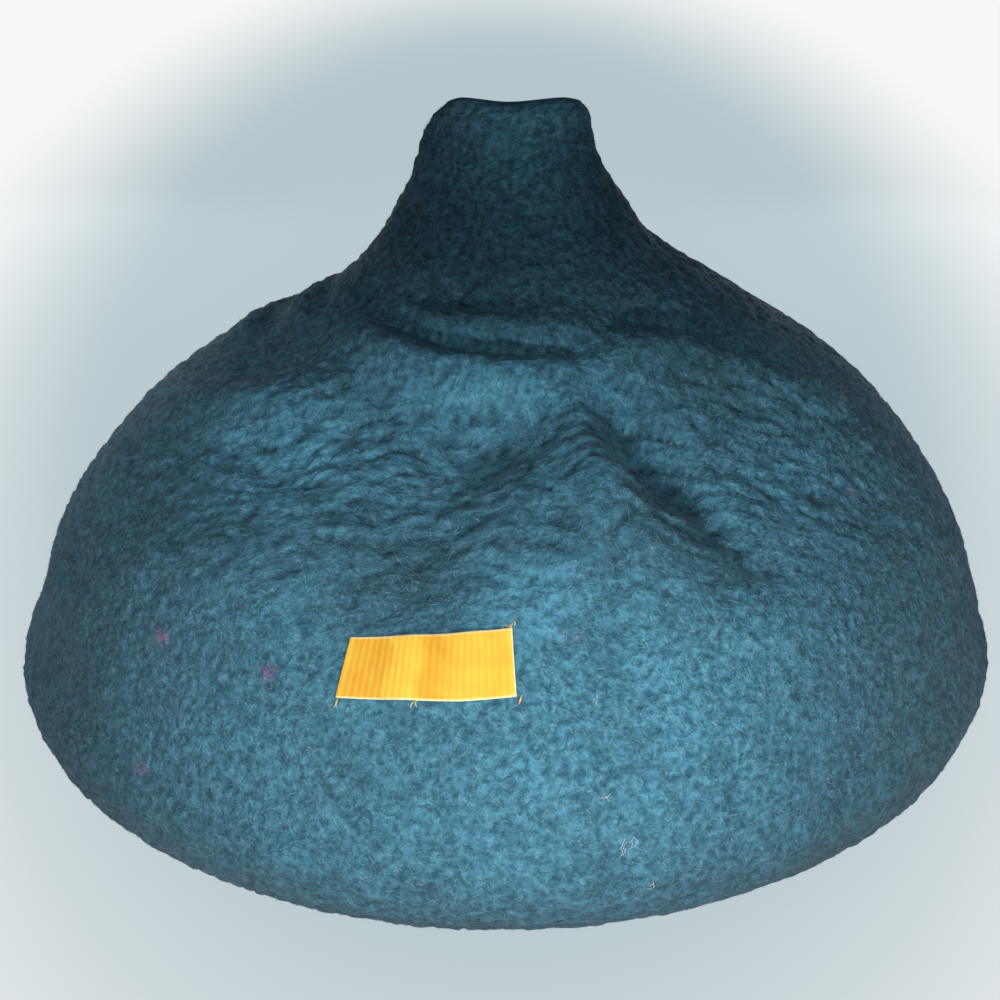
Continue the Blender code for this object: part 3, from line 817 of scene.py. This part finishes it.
@dataclass
class FeltCave:
    """The seamless felt body: outer face, hollow, and the entrance's rounded rim."""

    wall: FeltWall
    thickness: float = 6.0
    hollow_top_up: float = 386.0
    entrance_width: float = 218.0
    entrance_height: float = 158.0
    entrance_centre_height: float = 119.0
    front_columns: Triple = (-80, 80, 0.62)
    far_columns: Triple = (80, 280, 1.45)
    inner_every: int = 5
    rows: tuple[Triple, ...] = (
        (0, 20, 3.3), (20, 130, 3.1), (130, 360, 2.5), (360, 420, 3.1), (420, 432.4, 1.9))
    inner_from_up: float = 22.0
    rim_steps: int = 6
    edge_rounds: int = 4
    relax_rounds: int = 12
    relax_reach: float = 1.35
    # Stands for a place on the near side, which the entrance never reaches
    far_reach: float = 9.0
    # Where the painted shade in a crinkle and in a pit begins and is darkest
    crease_dark: Pair = (0.5, 0.95)
    pit_dark: Pair = (0.6, 1.0)
    # How strong the painted shade in a pit is
    pit_share: float = 0.45
    base_shares: tuple[float, ...] = (0.97, 0.9, 0.75, 0.5)
    tip_shares: tuple[float, ...] = (0.8, 0.45, 0.12)
    tip_rise: float = 1.4
    # The tip's rings rise in full from this share of its half thickness on
    tip_full_from: float = 0.8
    # Rings of the hollow's floor, as a share of its radius and a height
    floor_rings: tuple[Pair, ...] = (
        (1.06, 12.5), (1.035, 8.2), (1.0, 6.0), (0.9, 6.0), (0.7, 6.0), (0.4, 6.0))

    def params(self) -> tuple[Array, Array, int]:
        """Azimuth and up of the outer face's grid, and the number of front columns."""
        front = band_steps([self.front_columns])
        far = band_steps([self.far_columns])[1:-1]
        ups = band_steps(self.rows)
        ups[-1] = self.wall.length
        azimuth, up = np.meshgrid(np.concatenate([front, far]), ups)
        return azimuth, up, len(front)

    def entrance_reach(self, azimuth: Array, up: Array) -> Array:
        """1 on the entrance's edge, less inside it, and large on the near side."""
        points = self.wall.face(azimuth, up, crinkled=False)
        across = 2 * points[..., 0] / self.entrance_width
        along = 2 * (points[..., 2] - self.entrance_centre_height) / self.entrance_height
        return np.where(points[..., 1] > 0, np.hypot(across, along), np.inf)

    def fit_entrance(self, azimuth: Array, up: Array) -> Grids:
        """Move the grid's points near the entrance onto its edge.

        Args:
            azimuth: The grid's azimuths, which are changed in place.
            up: The grid's distances up the wall, which are changed in place.

        Returns:
            Which cells of the grid are kept, and which points lie on the edge.
        """
        reach = np.minimum(self.entrance_reach(azimuth, up), self.far_reach)
        around = np.roll(reach, -1, axis=1)
        cell = (reach[:-1] + around[:-1] + reach[1:] + around[1:]) / 4
        kept = cell >= 1
        touches_kept = np.zeros(azimuth.shape, bool)
        touches_cut = np.zeros(azimuth.shape, bool)
        for rows in (slice(0, -1), slice(1, None)):
            for shift in (0, 1):
                touches_kept[rows] |= np.roll(kept, shift, axis=1)
                touches_cut[rows] |= np.roll(~kept, shift, axis=1)
        edge = touches_kept & touches_cut
        turn, rise = 0.1, 0.3
        for _ in range(self.edge_rounds):
            a, u = azimuth[edge], up[edge]
            here = self.entrance_reach(a, u)
            by_azimuth = (self.entrance_reach(a + turn, u) - here) / turn
            by_up = (self.entrance_reach(a, u + rise) - here) / rise
            girth = self.wall.girth(u)
            steep = (by_azimuth / girth) ** 2 + by_up**2
            azimuth[edge] = a - (here - 1) * by_azimuth / girth**2 / steep
            up[edge] = u - (here - 1) * by_up / steep
        free = touches_kept & ~edge & (reach < self.relax_reach)
        for _ in range(self.relax_rounds):
            for grid in (azimuth, up):
                mean = (np.roll(grid, 1, 0) + np.roll(grid, -1, 0)
                        + np.roll(grid, 1, 1) + np.roll(grid, -1, 1)) / 4
                grid[free] = mean[free]
        return kept, edge

    def build(self) -> Thing:
        """Build the felt body as one closed mesh.

        Returns:
            The body, with the painted shade of its crinkles and pits as an attribute.
        """
        azimuth, up, front = self.params()
        kept, edge = self.fit_entrance(azimuth, up)
        rows, columns = azimuth.shape
        picked = np.concatenate([np.arange(0, front - 1, self.inner_every),
                                 np.arange(front - 1, columns)])
        hollow_rows = np.flatnonzero(
            (up[:, 0] >= self.inner_from_up) & (up[:, 0] <= self.hollow_top_up))
        self.points: list[Array] = []
        self.faces: list[tuple[int, ...]] = []
        self.count = 0
        outer_points = self.wall.face(azimuth, up)
        outer_points[0, :, 2] = 0.0
        outer = self._add(outer_points)
        inner_azimuth = azimuth[np.ix_(hollow_rows, picked)]
        inner_up = up[np.ix_(hollow_rows, picked)]
        inner = self._add(self.wall.face(inner_azimuth, inner_up, self.thickness))
        inner_of = {(int(hollow_rows[j]), int(picked[i])): int(inner[j, i])
                    for j in range(inner.shape[0]) for i in range(inner.shape[1])}
        for j in range(rows - 1):
            for i in np.flatnonzero(kept[j]):
                n = (i + 1) % columns
                self.faces.append((outer[j, i], outer[j, n], outer[j + 1, n], outer[j + 1, i]))
        for j, i in np.argwhere(kept[np.ix_(hollow_rows[:-1], picked)]):
            n = (i + 1) % len(picked)
            self.faces.append((inner[j, n], inner[j, i], inner[j + 1, i], inner[j + 1, n]))
        self._close_base(outer, outer_points)
        self._close_tip(outer, outer_points)
        self._close_hollow(inner)
        self._round_rim(outer, inner_of, kept, edge)
        body = mesh_object("felt_body", np.concatenate(self.points), self.faces)
        self._mark_crevices(body, azimuth, up, outer)
        return body

    def _add(self, points: Array) -> Array:
        """Add points to the mesh and give back their numbers."""
        flat = points.reshape(-1, 3)
        numbers = np.arange(self.count, self.count + len(flat)).reshape(points.shape[:-1])
        self.points.append(flat)
        self.count += len(flat)
        return numbers

    def _bridge(self, lower: Array, upper: Array) -> None:
        """Join two closed rings of the same length with faces."""
        for i in range(len(lower)):
            n = (i + 1) % len(lower)
            self.faces.append((lower[i], lower[n], upper[n], upper[i]))

    def _close_base(self, outer: Array, points: Array) -> None:
        """Close the flat base with rings and a middle."""
        last = outer[0]
        for share in self.base_shares:
            ring = self._add(points[0] * np.array([share, share, 0.0]))
            self._bridge(ring, last)
            last = ring
        self.faces.append(tuple(reversed(last)))

    def _close_tip(self, outer: Array, points: Array) -> None:
        """Close the pressed tip of the neck with a rounded top."""
        last = outer[-1]
        middle_y = LEVELS[-1].centre_y
        aside = points[-1][:, 1] - middle_y
        far = np.abs(aside)
        from_ends = np.minimum(far / (self.tip_full_from * far.max()), 1)
        for share in self.tip_shares:
            ring_points = points[-1].copy()
            ring_points[:, 1] = middle_y + aside * share
            ring_points[:, 2] += self.tip_rise * math.sqrt(1 - share**2) * from_ends
            ring = self._add(ring_points)
            self._bridge(last, ring)
            last = ring
        self._zip(last, ring_points)

    def _zip(self, ring: Array, points: Array) -> None:
        """Close a long narrow ring by joining its near and far sides."""
        left, right = int(np.argmin(points[:, 0])), int(np.argmax(points[:, 0]))
        count = len(ring)
        near = [(left + i) % count for i in range((right - left) % count + 1)]
        far = [(left - i) % count for i in range((left - right) % count + 1)]
        i, j = 0, 0
        while i < len(near) - 1 or j < len(far) - 1:
            step_near = j == len(far) - 1 or (
                i < len(near) - 1 and points[near[i + 1], 0] <= points[far[j + 1], 0])
            new = ring[near[i + 1]] if step_near else ring[far[j + 1]]
            if new not in (ring[near[i]], ring[far[j]]) and near[i] != far[j]:
                self.faces.append((ring[near[i]], new, ring[far[j]]))
            i, j = (i + 1, j) if step_near else (i, j + 1)

    def _close_hollow(self, inner: Array) -> None:
        """Close the hollow with its floor and the pressed end in the neck."""
        low = np.concatenate(self.points)[inner[0]][:, :2]
        last = inner[0]
        floor_radius = LEVELS[0].half_width - self.thickness / 2
        radius = np.linalg.norm(low, axis=1, keepdims=True)
        for share, height in self.floor_rings:
            ring = self._add(np.concatenate(
                [low / radius * floor_radius * share, np.full_like(radius, height)], axis=1))
            self._bridge(last, ring)
            last = ring
        self.faces.append(tuple(last))
        self.faces.append(tuple(reversed(inner[-1])))

    def _round_rim(self, outer: Array, inner_of: dict, kept: Array,
                   edge: Array) -> None:
        """Join the outer and inner edges of the entrance with a rounded rim."""
        everything = np.concatenate(self.points)
        centre = np.array([0.0, 0.0, self.entrance_centre_height])
        strips = {}
        for j, i in zip(*np.nonzero(edge)):
            top, bottom = everything[outer[j, i]], everything[inner_of[(j, i)]]
            middle, half = (top + bottom) / 2, (top - bottom) / 2
            centre[1] = middle[1]
            inward = centre - middle
            inward -= half * (inward @ half) / (half @ half)
            inward *= np.linalg.norm(half) / np.linalg.norm(inward)
            angles = np.linspace(0, math.pi, self.rim_steps + 1)[1:-1]
            ring = np.array([middle + math.cos(a) * half + math.sin(a) * inward for a in angles])
            strips[(j, i)] = [outer[j, i], *self._add(ring), inner_of[(j, i)]]
        rows, columns = outer.shape
        for j in range(rows - 1):
            for i in np.flatnonzero(~kept[j]):
                n = (i + 1) % columns
                corners = [(j, i), (j, n), (j + 1, n), (j + 1, i)]
                beside = [(j - 1, i), (j, n), (j + 1, i), (j, (i - 1) % columns)]
                for k, (a, b) in enumerate(zip(corners, corners[1:] + corners[:1])):
                    row, column = beside[k]
                    if kept[row, column]:
                        first, second = strips[a], strips[b]
                        for s in range(len(first) - 1):
                            self.faces.append(
                                (first[s], second[s], second[s + 1], first[s + 1]))

    def _mark_crevices(self, body: Thing, azimuth: Array, up: Array,
                       outer: Array) -> None:
        """Store what the felt's finish reads at each outer point.

        That is how much painted shade it gets for lying near the bottom of a
        crinkle or of a pit, from 0 to 1, whether it lies in the crinkled dent, its
        crinkle's height in millimetres, and the painted light and shade of the
        patches there.
        """
        creases, pits = self.wall.crevices(azimuth, up)
        in_dent = self.wall.in_dent(azimuth, up)
        # Painted shade at the bottoms of crinkles, stronger in the dent, and at the bottoms of
        # pits
        crease_shade = smooth_step(creases, *self.crease_dark) * (0.35 + 0.65 * in_dent)
        pit_shaded = self.pit_share * smooth_step(pits, *self.pit_dark)
        stored = {"crevice_shade": np.maximum(crease_shade, pit_shaded),
                  "in_dent": in_dent, "level": self.wall.level(azimuth, up),
                  "painted_light": self.wall.painted_light(azimuth, up)}
        for name, values in stored.items():
            every = np.full(len(body.data.vertices), float(name == "painted_light"), np.float32)
            every[outer.ravel()] = values.ravel()
            attribute = body.data.attributes.new(name, "FLOAT", "POINT")
            attribute.data.foreach_set("value", every)

    def dress(self, body: Thing, finish: WoolFelt) -> None:
        """Give the body its felt, and let it stand for the CAD body."""
        body.data.materials.append(finish.material("teal_hand_felted_wool"))
        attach(body, BODY)
        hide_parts("felt_cave")


@dataclass(frozen=True)
class LabelEdge:
    """Where the label's lower and upper edges lie, at a share of its length."""

    share: float
    top_azimuth: float
    top_up: float
    bottom_azimuth: float
    bottom_up: float


@dataclass(frozen=True)
class Pucker:
    """Where the ribbon stands off the felt, at a share of its length."""

    share: float
    height: float
    half_share: float


@dataclass
class RibbonLabel:
    """The bare woven ribbon label, which lies puckered on the felt."""

    wall: FeltWall
    length: float = 75.5
    width: float = 28.0
    thickness: float = 0.45
    gap: float = 0.7
    columns: int = 148
    rows: int = 36
    edges: tuple[LabelEdge, ...] = (
        LabelEdge(0.0, -19.5, 170.0, -19.6, 144.0),
        LabelEdge(0.4, -12.0, 174.5, -11.6, 147.0),
        LabelEdge(0.7, -6.2, 177.0, -5.4, 148.0),
        LabelEdge(1.0, -0.2, 179.5, 0.6, 150.5),
    )
    puckers: tuple[Pucker, ...] = (
        Pucker(0.39, 1.7, 0.11),
        Pucker(0.76, 1.4, 0.10),
    )
    # Painted shade on the satin where a pucker turns it away, and painted light on the puckers'
    # crests, read at millimetres along it
    pucker_shading_at: tuple[float, ...] = (0, 4, 8, 19, 23, 33, 37, 43, 48, 60, 70, 74)
    pucker_shading_values: tuple[float, ...] = (0.55, 0.2, 0.1, 0.15, 0.7, 0.75, 0.1, 0.15, 0.55, 0.65, 0.5, 0.7)

    def place(self, along: Array, across: Array) -> Grids:
        """Azimuth and up at shares along and across the ribbon."""
        shares = [row.share for row in self.edges]
        read = {name: np.interp(along, shares, [getattr(row, name) for row in self.edges])
                for name in ("top_azimuth", "top_up", "bottom_azimuth", "bottom_up")}
        azimuth = read["bottom_azimuth"] * (1 - across) + read["top_azimuth"] * across
        up = read["bottom_up"] * (1 - across) + read["top_up"] * across
        return azimuth, up

    def surface(self, along: Array, across: Array, lift: float = 0.0) -> Array:
        """Points on the ribbon's back, lifted off it by lift, in millimetres."""
        azimuth, up = self.place(along, across)
        pucker = sum(p.height * np.exp(-((along - p.share) / p.half_share) ** 2)
                     for p in self.puckers)
        stand = self.gap + pucker + lift
        return (self.wall.face(azimuth, up, crinkled=False)
                + self.wall.normal(azimuth, up) * np.asarray(stand)[..., None])

    def build(self) -> Thing:
        """Build the ribbon as a thin solidified sheet with its UV map in millimetres."""
        along, across = np.meshgrid(np.linspace(0, 1, self.columns + 1),
                                    np.linspace(0, 1, self.rows + 1))
        points = self.surface(along, across)
        numbers = np.arange(points.shape[0] * points.shape[1]).reshape(points.shape[:2])
        faces = [(numbers[j, i], numbers[j, i + 1], numbers[j + 1, i + 1], numbers[j + 1, i])
                 for j in range(self.rows) for i in range(self.columns)]
        ribbon = mesh_object("ribbon_label", points.reshape(-1, 3), faces)
        layer = ribbon.data.uv_layers.new(name="ribbon_mm")
        places = np.stack([along.ravel() * self.length, across.ravel() * self.width], axis=1)
        for loop in ribbon.data.loops:
            layer.data[loop.index].uv = places[loop.vertex_index]
        # Painted light and shade over the puckers, for the satin to read
        tone = ribbon.data.attributes.new("tone", "FLOAT", "POINT")
        waved = places[:, 0] + 1.5 * np.sin(places[:, 1] / 4)
        pucker_shading = np.interp(waved, self.pucker_shading_at, self.pucker_shading_values)
        tone.data.foreach_set("value", pucker_shading.astype(np.float32))
        thick = ribbon.modifiers.new("cloth", "SOLIDIFY")
        thick.thickness = self.thickness * MM
        thick.offset = 1.0
        return ribbon

    def dress(self, ribbon: Thing, finish: SatinRibbon) -> None:
        """Give the ribbon its satin, and let it stand for the CAD label."""
        ribbon.data.materials.append(finish.material(
            "golden_satin_ribbon", self.length, self.width))
        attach(ribbon, BODY)
        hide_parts("woven_label")


class Shade(Enum):
    """Shades of the loose fibres, as their darker and lighter colours."""

    DARK = ("#143A47", "#1E4F60")
    MIDDLE = ("#2B6478", "#3B7A90")
    PALE = ("#4A8398", "#6CA0B2")
    PURPLE = ("#755C88", "#A890B4")
    CREAM = ("#A9B8B6", "#D6DCD3")
    GOLD = ("#E9B93A", "#F9E6A0")


@dataclass
class WoolFuzz:
    """Loose fibres on the felt, each a thin curved ribbon of three pieces."""

    wall: FeltWall
    name: str
    shade: Shade
    count: int
    seed: int
    length: Pair = (4.0, 9.0)
    width: float = 0.16
    taper: Span = (0.35, 1.0, 1.0, 0.35)
    lift: Pair = (0.1, 0.6)
    sink: float = 0.15
    bed: float = 0.05
    front_share: float = 0.72
    front_degrees: float = 100.0
    low_up: float = 8.0
    label_azimuth: Pair = (-23.0, 3.5)
    label_up: Pair = (140.0, 186.0)
    entrance_half_width: float = 116.0
    entrance_heights: Pair = (36.0, 202.0)

    def roots(self) -> Grids:
        """Azimuth and up of the fibres' middles, spread evenly over the felt."""
        rng = np.random.default_rng(self.seed)
        widest = max(row.half_width for row in LEVELS)
        azimuths, ups = [], []
        found = 0
        while found < self.count:
            n = self.count * 2
            front = rng.random(n) < self.front_share
            azimuth = np.where(front, rng.uniform(-self.front_degrees, self.front_degrees, n),
                               rng.uniform(self.front_degrees, 360 - self.front_degrees, n))
            up = rng.uniform(self.low_up, self.wall.length - 3, n)
            even = rng.random(n) < self.wall.read("half_width", up) / widest
            on_label = ((azimuth > self.label_azimuth[0]) & (azimuth < self.label_azimuth[1])
                        & (up > self.label_up[0]) & (up < self.label_up[1]))
            points = self.wall.plain(azimuth, up)
            in_entrance = ((points[:, 1] > 0)
                           & (np.abs(points[:, 0]) < self.entrance_half_width)
                           & (points[:, 2] > self.entrance_heights[0])
                           & (points[:, 2] < self.entrance_heights[1]))
            good = even & ~on_label & ~in_entrance
            azimuths.append(azimuth[good])
            ups.append(up[good])
            found += int(good.sum())
        return np.concatenate(azimuths)[:self.count], np.concatenate(ups)[:self.count]

    def build(self) -> Thing:
        """Build the fibres as one mesh."""
        rng = np.random.default_rng(self.seed + 1)
        azimuth, up = self.roots()
        n = self.count
        return self.strands(
            self.name, azimuth, up, rng.uniform(*self.length, n), rng.uniform(0, math.pi, n),
            rng.normal(0, 0.35, n), rng.uniform(*self.lift, n))

    def strands(self, name: str, azimuth: Array, up: Array, length: Array,
                heading: Array, bend: Array, lift: Array) -> Thing:
        """Lay fibres over the felt.

        Args:
            name: The mesh object's name.
            azimuth: Azimuth of each fibre's middle.
            up: Distance up the wall of each fibre's middle.
            length: Length of each fibre, in millimetres.
            heading: Direction of each fibre, in radians from level.
            bend: Sideways bow of each fibre, as a share of its length.
            lift: How far its middle stands off the felt, in millimetres.

        Returns:
            The fibres as one mesh object.
        """
        t = np.linspace(-0.5, 0.5, len(self.taper))[None, :]
        along = length[:, None] * t
        aside = (bend * length)[:, None] * (4 * t**2 - 0.5)
        cos, sin = np.cos(heading)[:, None], np.sin(heading)[:, None]
        strand_up = np.clip(up[:, None] + along * sin + aside * cos, 1, self.wall.length - 1)
        strand_azimuth = azimuth[:, None] + (along * cos - aside * sin) / self.wall.girth(
            up)[:, None]
        points = self.wall.face(strand_azimuth, strand_up)
        normal = self.wall.normal(strand_azimuth, strand_up)
        points = points + normal * (lift[:, None] * (1 - 4 * t**2) - self.sink * 4 * t**2
                                    + self.bed)[..., None]
        run = np.gradient(points, axis=1)
        side = np.cross(normal, run)
        side /= np.linalg.norm(side, axis=-1, keepdims=True) + 1e-9
        taper = np.array(self.taper)[None, :, None] * self.width / 2
        both = np.stack([points - side * taper, points + side * taper], axis=2)
        base = np.arange(len(azimuth))[:, None] * 8
        quads = np.array([[0, 2, 3, 1], [2, 4, 5, 3], [4, 6, 7, 5]])
        faces = (base[:, :, None] + quads[None]).reshape(-1, 4)
        return mesh_object(name, both.reshape(-1, 3), faces.tolist())

    def dress(self, fibres: Thing) -> None:
        """Give the fibres their shade of wool."""
        dark, light = self.shade.value
        fibres.data.materials.append(LooseWool(dark, light).material(f"wool_{self.name}"))
        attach(fibres, BODY)


@dataclass(frozen=True)
class Wisp:
    """A few fibres of another wool, or of thread, that lie together on the felt."""

    azimuth: float
    up: float
    count: int
    spread: float
    length: float
    heading: float = 0.4
    turn: float = 1.2


PURPLE_WISPS = (
    Wisp(-44.5, 147, 60, 2.8, 3.8), Wisp(-28.5, 148, 42, 2.3, 3.4), Wisp(-42.5, 87, 34, 3.0, 3.2),
    Wisp(7, 175, 12, 2.6, 3.0), Wisp(58, 205, 14, 2.4, 3.0))
CREAM_WISPS = (
    Wisp(10, 107, 3, 1.0, 6.0, 0.2, 0.4), Wisp(12.5, 84, 7, 2.4, 6.0, 1.3, 0.4),
    Wisp(10, 147, 2, 1.6, 4.5, 1.5, 0.5), Wisp(15, 64, 3, 2.0, 4.5))
THREAD_ENDS = (
    Wisp(-19.4, 141.5, 2, 0.3, 6.5, 1.5, 0.15), Wisp(-10.8, 145.6, 2, 0.8, 3.6, 1.4, 0.3),
    Wisp(-0.3, 180.6, 3, 0.5, 3.4, 0.8, 0.6), Wisp(0.9, 149.4, 2, 0.4, 3.6, 1.8, 0.3))


@dataclass
class Wisps:
    """All the wisps of one shade, as one mesh."""

    fuzz: WoolFuzz
    wisps: tuple[Wisp, ...]

    def build(self) -> Thing:
        """Lay every wisp's fibres."""
        rng = np.random.default_rng(self.fuzz.seed)
        columns = []
        for wisp in self.wisps:
            n = wisp.count
            girth = float(self.fuzz.wall.girth(np.array([wisp.up]))[0])
            columns.append(np.stack([
                wisp.azimuth + rng.normal(0, wisp.spread, n) / girth,
                wisp.up + rng.normal(0, wisp.spread * 0.7, n),
                wisp.length * rng.uniform(0.6, 1.3, n),
                wisp.heading + rng.normal(0, wisp.turn, n),
                rng.normal(0, 0.3, n), rng.uniform(*self.fuzz.lift, n)]))
        return self.fuzz.strands(self.fuzz.name, *np.concatenate(columns, axis=1))


@dataclass
class Studio:
    """Floor that glows pale, with a painted shadow round the bed, soft lamps and the camera.

    Each lamp has its name, place, radius, power and the height that it reaches.
    """

    elevation: float = 24.0
    distance: float = 1250.0
    target_height: float = 119.9
    picture_pixels: float = 1000.0
    focal_pixels: float = 2483.0
    sensor: float = 36.0
    floor_size: float = 12000.0
    floor_colour: str = "#1E2122"
    painted_shadow_colour: str = "#B6C6CC"
    backdrop_colour: str = "#F6F7F7"
    # The painted shadow's middle on the floor and its half sizes, in metres
    painted_shadow_centre: Triple = (0.0, 0.64, 0.0)
    painted_shadow_reach: Triple = (0.419, 1.2, 1.0)
    # Where the painted shadow begins to pale and ends, as shares of its half sizes
    painted_shadow_edge: Pair = (0.62, 1.16)
    near_side: float = 100.0
    lamp_colour: str = "#FFFDF8"
    room_colour: str = "#DDE8F2"
    room_light: float = 0.11
    lamps: tuple[tuple[str, Triple, float, float, float], ...] = (
        ("lamp_back_left", (-380, 950, 150), 60.0, 5.5, 320.0),
        ("lamp_back_right", (380, 950, 150), 60.0, 5.5, 320.0),
        ("lamp_inside", (0, 900, 420), 60.0, 9.0, 180.0),
        ("lamp_near", (100, -750, 110), 45.0, 10.8, 238.0),
        ("lamp_left", (-600, -850, 500), 50.0, 17.5, 236.0),
        ("lamp_right", (500, -850, 500), 50.0, 11.5, 236.0),
    )

    def camera(self) -> Thing:
        """Set the camera at the photo's angle."""
        data = bpy.data.cameras.new("camera")
        data.sensor_width = self.sensor
        data.lens = self.focal_pixels * self.sensor / self.picture_pixels
        camera = bpy.data.objects.new("camera", data)
        bpy.context.scene.collection.objects.link(camera)
        tilt = math.radians(self.elevation)
        back = Vector((0, -math.cos(tilt), math.sin(tilt)))
        camera.location = (Vector((0, 0, self.target_height)) + back * self.distance) * MM
        camera.rotation_euler = (-back).to_track_quat("-Z", "Y").to_euler()
        bpy.context.scene.camera = camera
        return camera

    def floor(self) -> Thing:
        """Lay a wide floor that glows pale, darker in a painted shadow round the bed."""
        signs = np.array([[-1, -1, 0], [1, -1, 0], [1, 1, 0], [-1, 1, 0]])
        floor = mesh_object("floor", signs * self.floor_size / 2, [(0, 1, 2, 3)])
        paint = NodeMaterial("pale_paper")
        place = paint.place()
        colour = linear(self.floor_colour)
        grained = tuple(0.97 * c for c in colour[:3]) + (1.0,)
        away = add_node(paint.tree, "ShaderNodeMapping", {
            "vector_type": "TEXTURE", "Location": self.painted_shadow_centre, "Scale": self.painted_shadow_reach,
            "Vector": place})
        reach = add_node(paint.tree, "ShaderNodeVectorMath", {
            "operation": "LENGTH", 0: away.outputs[0]})
        # Painted shadow: the glow is darker round the bed and pales to the backdrop colour away
        # from it
        glow = add_node(paint.tree, "ShaderNodeMapRange", {
            "interpolation_type": "SMOOTHSTEP", "From Min": self.painted_shadow_edge[0],
            "From Max": self.painted_shadow_edge[1], "Value": reach.outputs["Value"]})
        floor.data.materials.append(paint.finish({
            "Base Color": paint.mix(paint.noise(place, 60.0, 2.0), colour, grained),
            "Emission Color": paint.mix(
                glow.outputs[0], linear(self.painted_shadow_colour), linear(self.backdrop_colour)),
            "Emission Strength": 1.0, "Roughness": 0.9, "Specular IOR Level": 0.05}))
        # Its glow stands for a lit backdrop, with a painted shadow round the bed, and the lamps
        # alone light the bed
        floor.visible_diffuse = False
        return floor

    def lamp(self, name: str, place: Triple, radius: float, power: float,
             colour: str, top: float, soft: float = 1.8, half_cone: float = 40.0) -> None:
        """Hang a soft lamp whose cone ends at a height on the bed's near side.

        Args:
            name: The light's name.
            place: Its centre, in millimetres.
            radius: How large it is, in millimetres.
            power: Its power, in watts.
            colour: Its colour, as sRGB hex.
            top: Height that its light reaches on the near side, in millimetres.
            soft: Width of the cone's soft edge, in degrees.
            half_cone: Half of the cone's angle, in degrees.
        """
        data = bpy.data.lights.new(name, "SPOT")
        data.shadow_soft_size = radius * MM
        data.energy = power
        data.color = linear(colour)[:3]
        data.spot_size = 2 * math.radians(half_cone)
        inner, outer = (math.cos(math.radians(half_cone - edge)) for edge in (soft, 0.0))
        data.spot_blend = (inner - outer) / (1 - outer)
        light = bpy.data.objects.new(name, data)
        bpy.context.scene.collection.objects.link(light)
        light.location = Vector(place) * MM
        far = math.hypot(place[0], place[1])
        edge = math.atan2(top - place[2], far - self.near_side)
        slope = edge + math.radians(soft / 2 - half_cone)
        aim = Vector((-place[0] / far, -place[1] / far, math.tan(slope)))
        light.rotation_euler = aim.to_track_quat("-Z", "Y").to_euler()

    def lights(self) -> None:
        """Hang lamps in front, which light the neck far less, and weak ones behind."""
        for name, place, radius, power, top in self.lamps:
            self.lamp(name, place, radius, power, self.lamp_colour, top)
        self.lamp("tip_lamp", (150, -900, 320), 30.0, 8.0, self.lamp_colour, 375.0, 3.6, 4.4)
        world = bpy.data.worlds.new("room")
        bpy.context.scene.world = world
        world.use_nodes = True
        background = world.node_tree.nodes["Background"]
        background.inputs["Color"].default_value = linear(self.room_colour)
        background.inputs["Strength"].default_value = self.room_light
        bpy.context.scene.view_settings.view_transform = "Standard"


def report(pieces: Iterable[Thing]) -> None:
    """Log each piece's faces and size."""
    for piece in pieces:
        size = ", ".join(f"{side * 1000:.1f}" for side in piece.dimensions)
        log.info("%s: %d faces, %s mm", piece.name, len(piece.data.polygons), size)


def main() -> None:
    """Build and dress the pet cave, and light it."""
    logging.basicConfig(level=logging.INFO, format="%(name)s: %(message)s")
    wall = FeltWall(Crinkles())
    cave = FeltCave(wall)
    body = cave.build()
    cave.dress(body, WoolFelt())
    label = RibbonLabel(wall)
    ribbon = label.build()
    label.dress(ribbon, SatinRibbon())
    pieces = [body, ribbon]
    for fuzz in (WoolFuzz(wall, "fuzz_dark", Shade.DARK, 14000, 21),
                 WoolFuzz(wall, "fuzz_middle", Shade.MIDDLE, 20000, 23),
                 WoolFuzz(wall, "fuzz_pale", Shade.PALE, 6000, 25)):
        fibres = fuzz.build()
        fuzz.dress(fibres)
        pieces.append(fibres)
    purple = WoolFuzz(wall, "flecks_purple", Shade.PURPLE, 0, 31, width=0.2, lift=(0.2, 0.7))
    cream = WoolFuzz(wall, "flecks_cream", Shade.CREAM, 0, 33, width=0.18, lift=(0.2, 0.9))
    thread = WoolFuzz(wall, "label_threads", Shade.GOLD, 0, 35, width=0.3, lift=(1.4, 1.9))
    for wisps in (Wisps(purple, PURPLE_WISPS), Wisps(cream, CREAM_WISPS),
                  Wisps(thread, THREAD_ENDS)):
        fibres = wisps.build()
        wisps.fuzz.dress(fibres)
        pieces.append(fibres)
    studio = Studio()
    studio.camera()
    studio.floor()
    studio.lights()
    report(pieces)


if __name__ == "__main__":
    main()
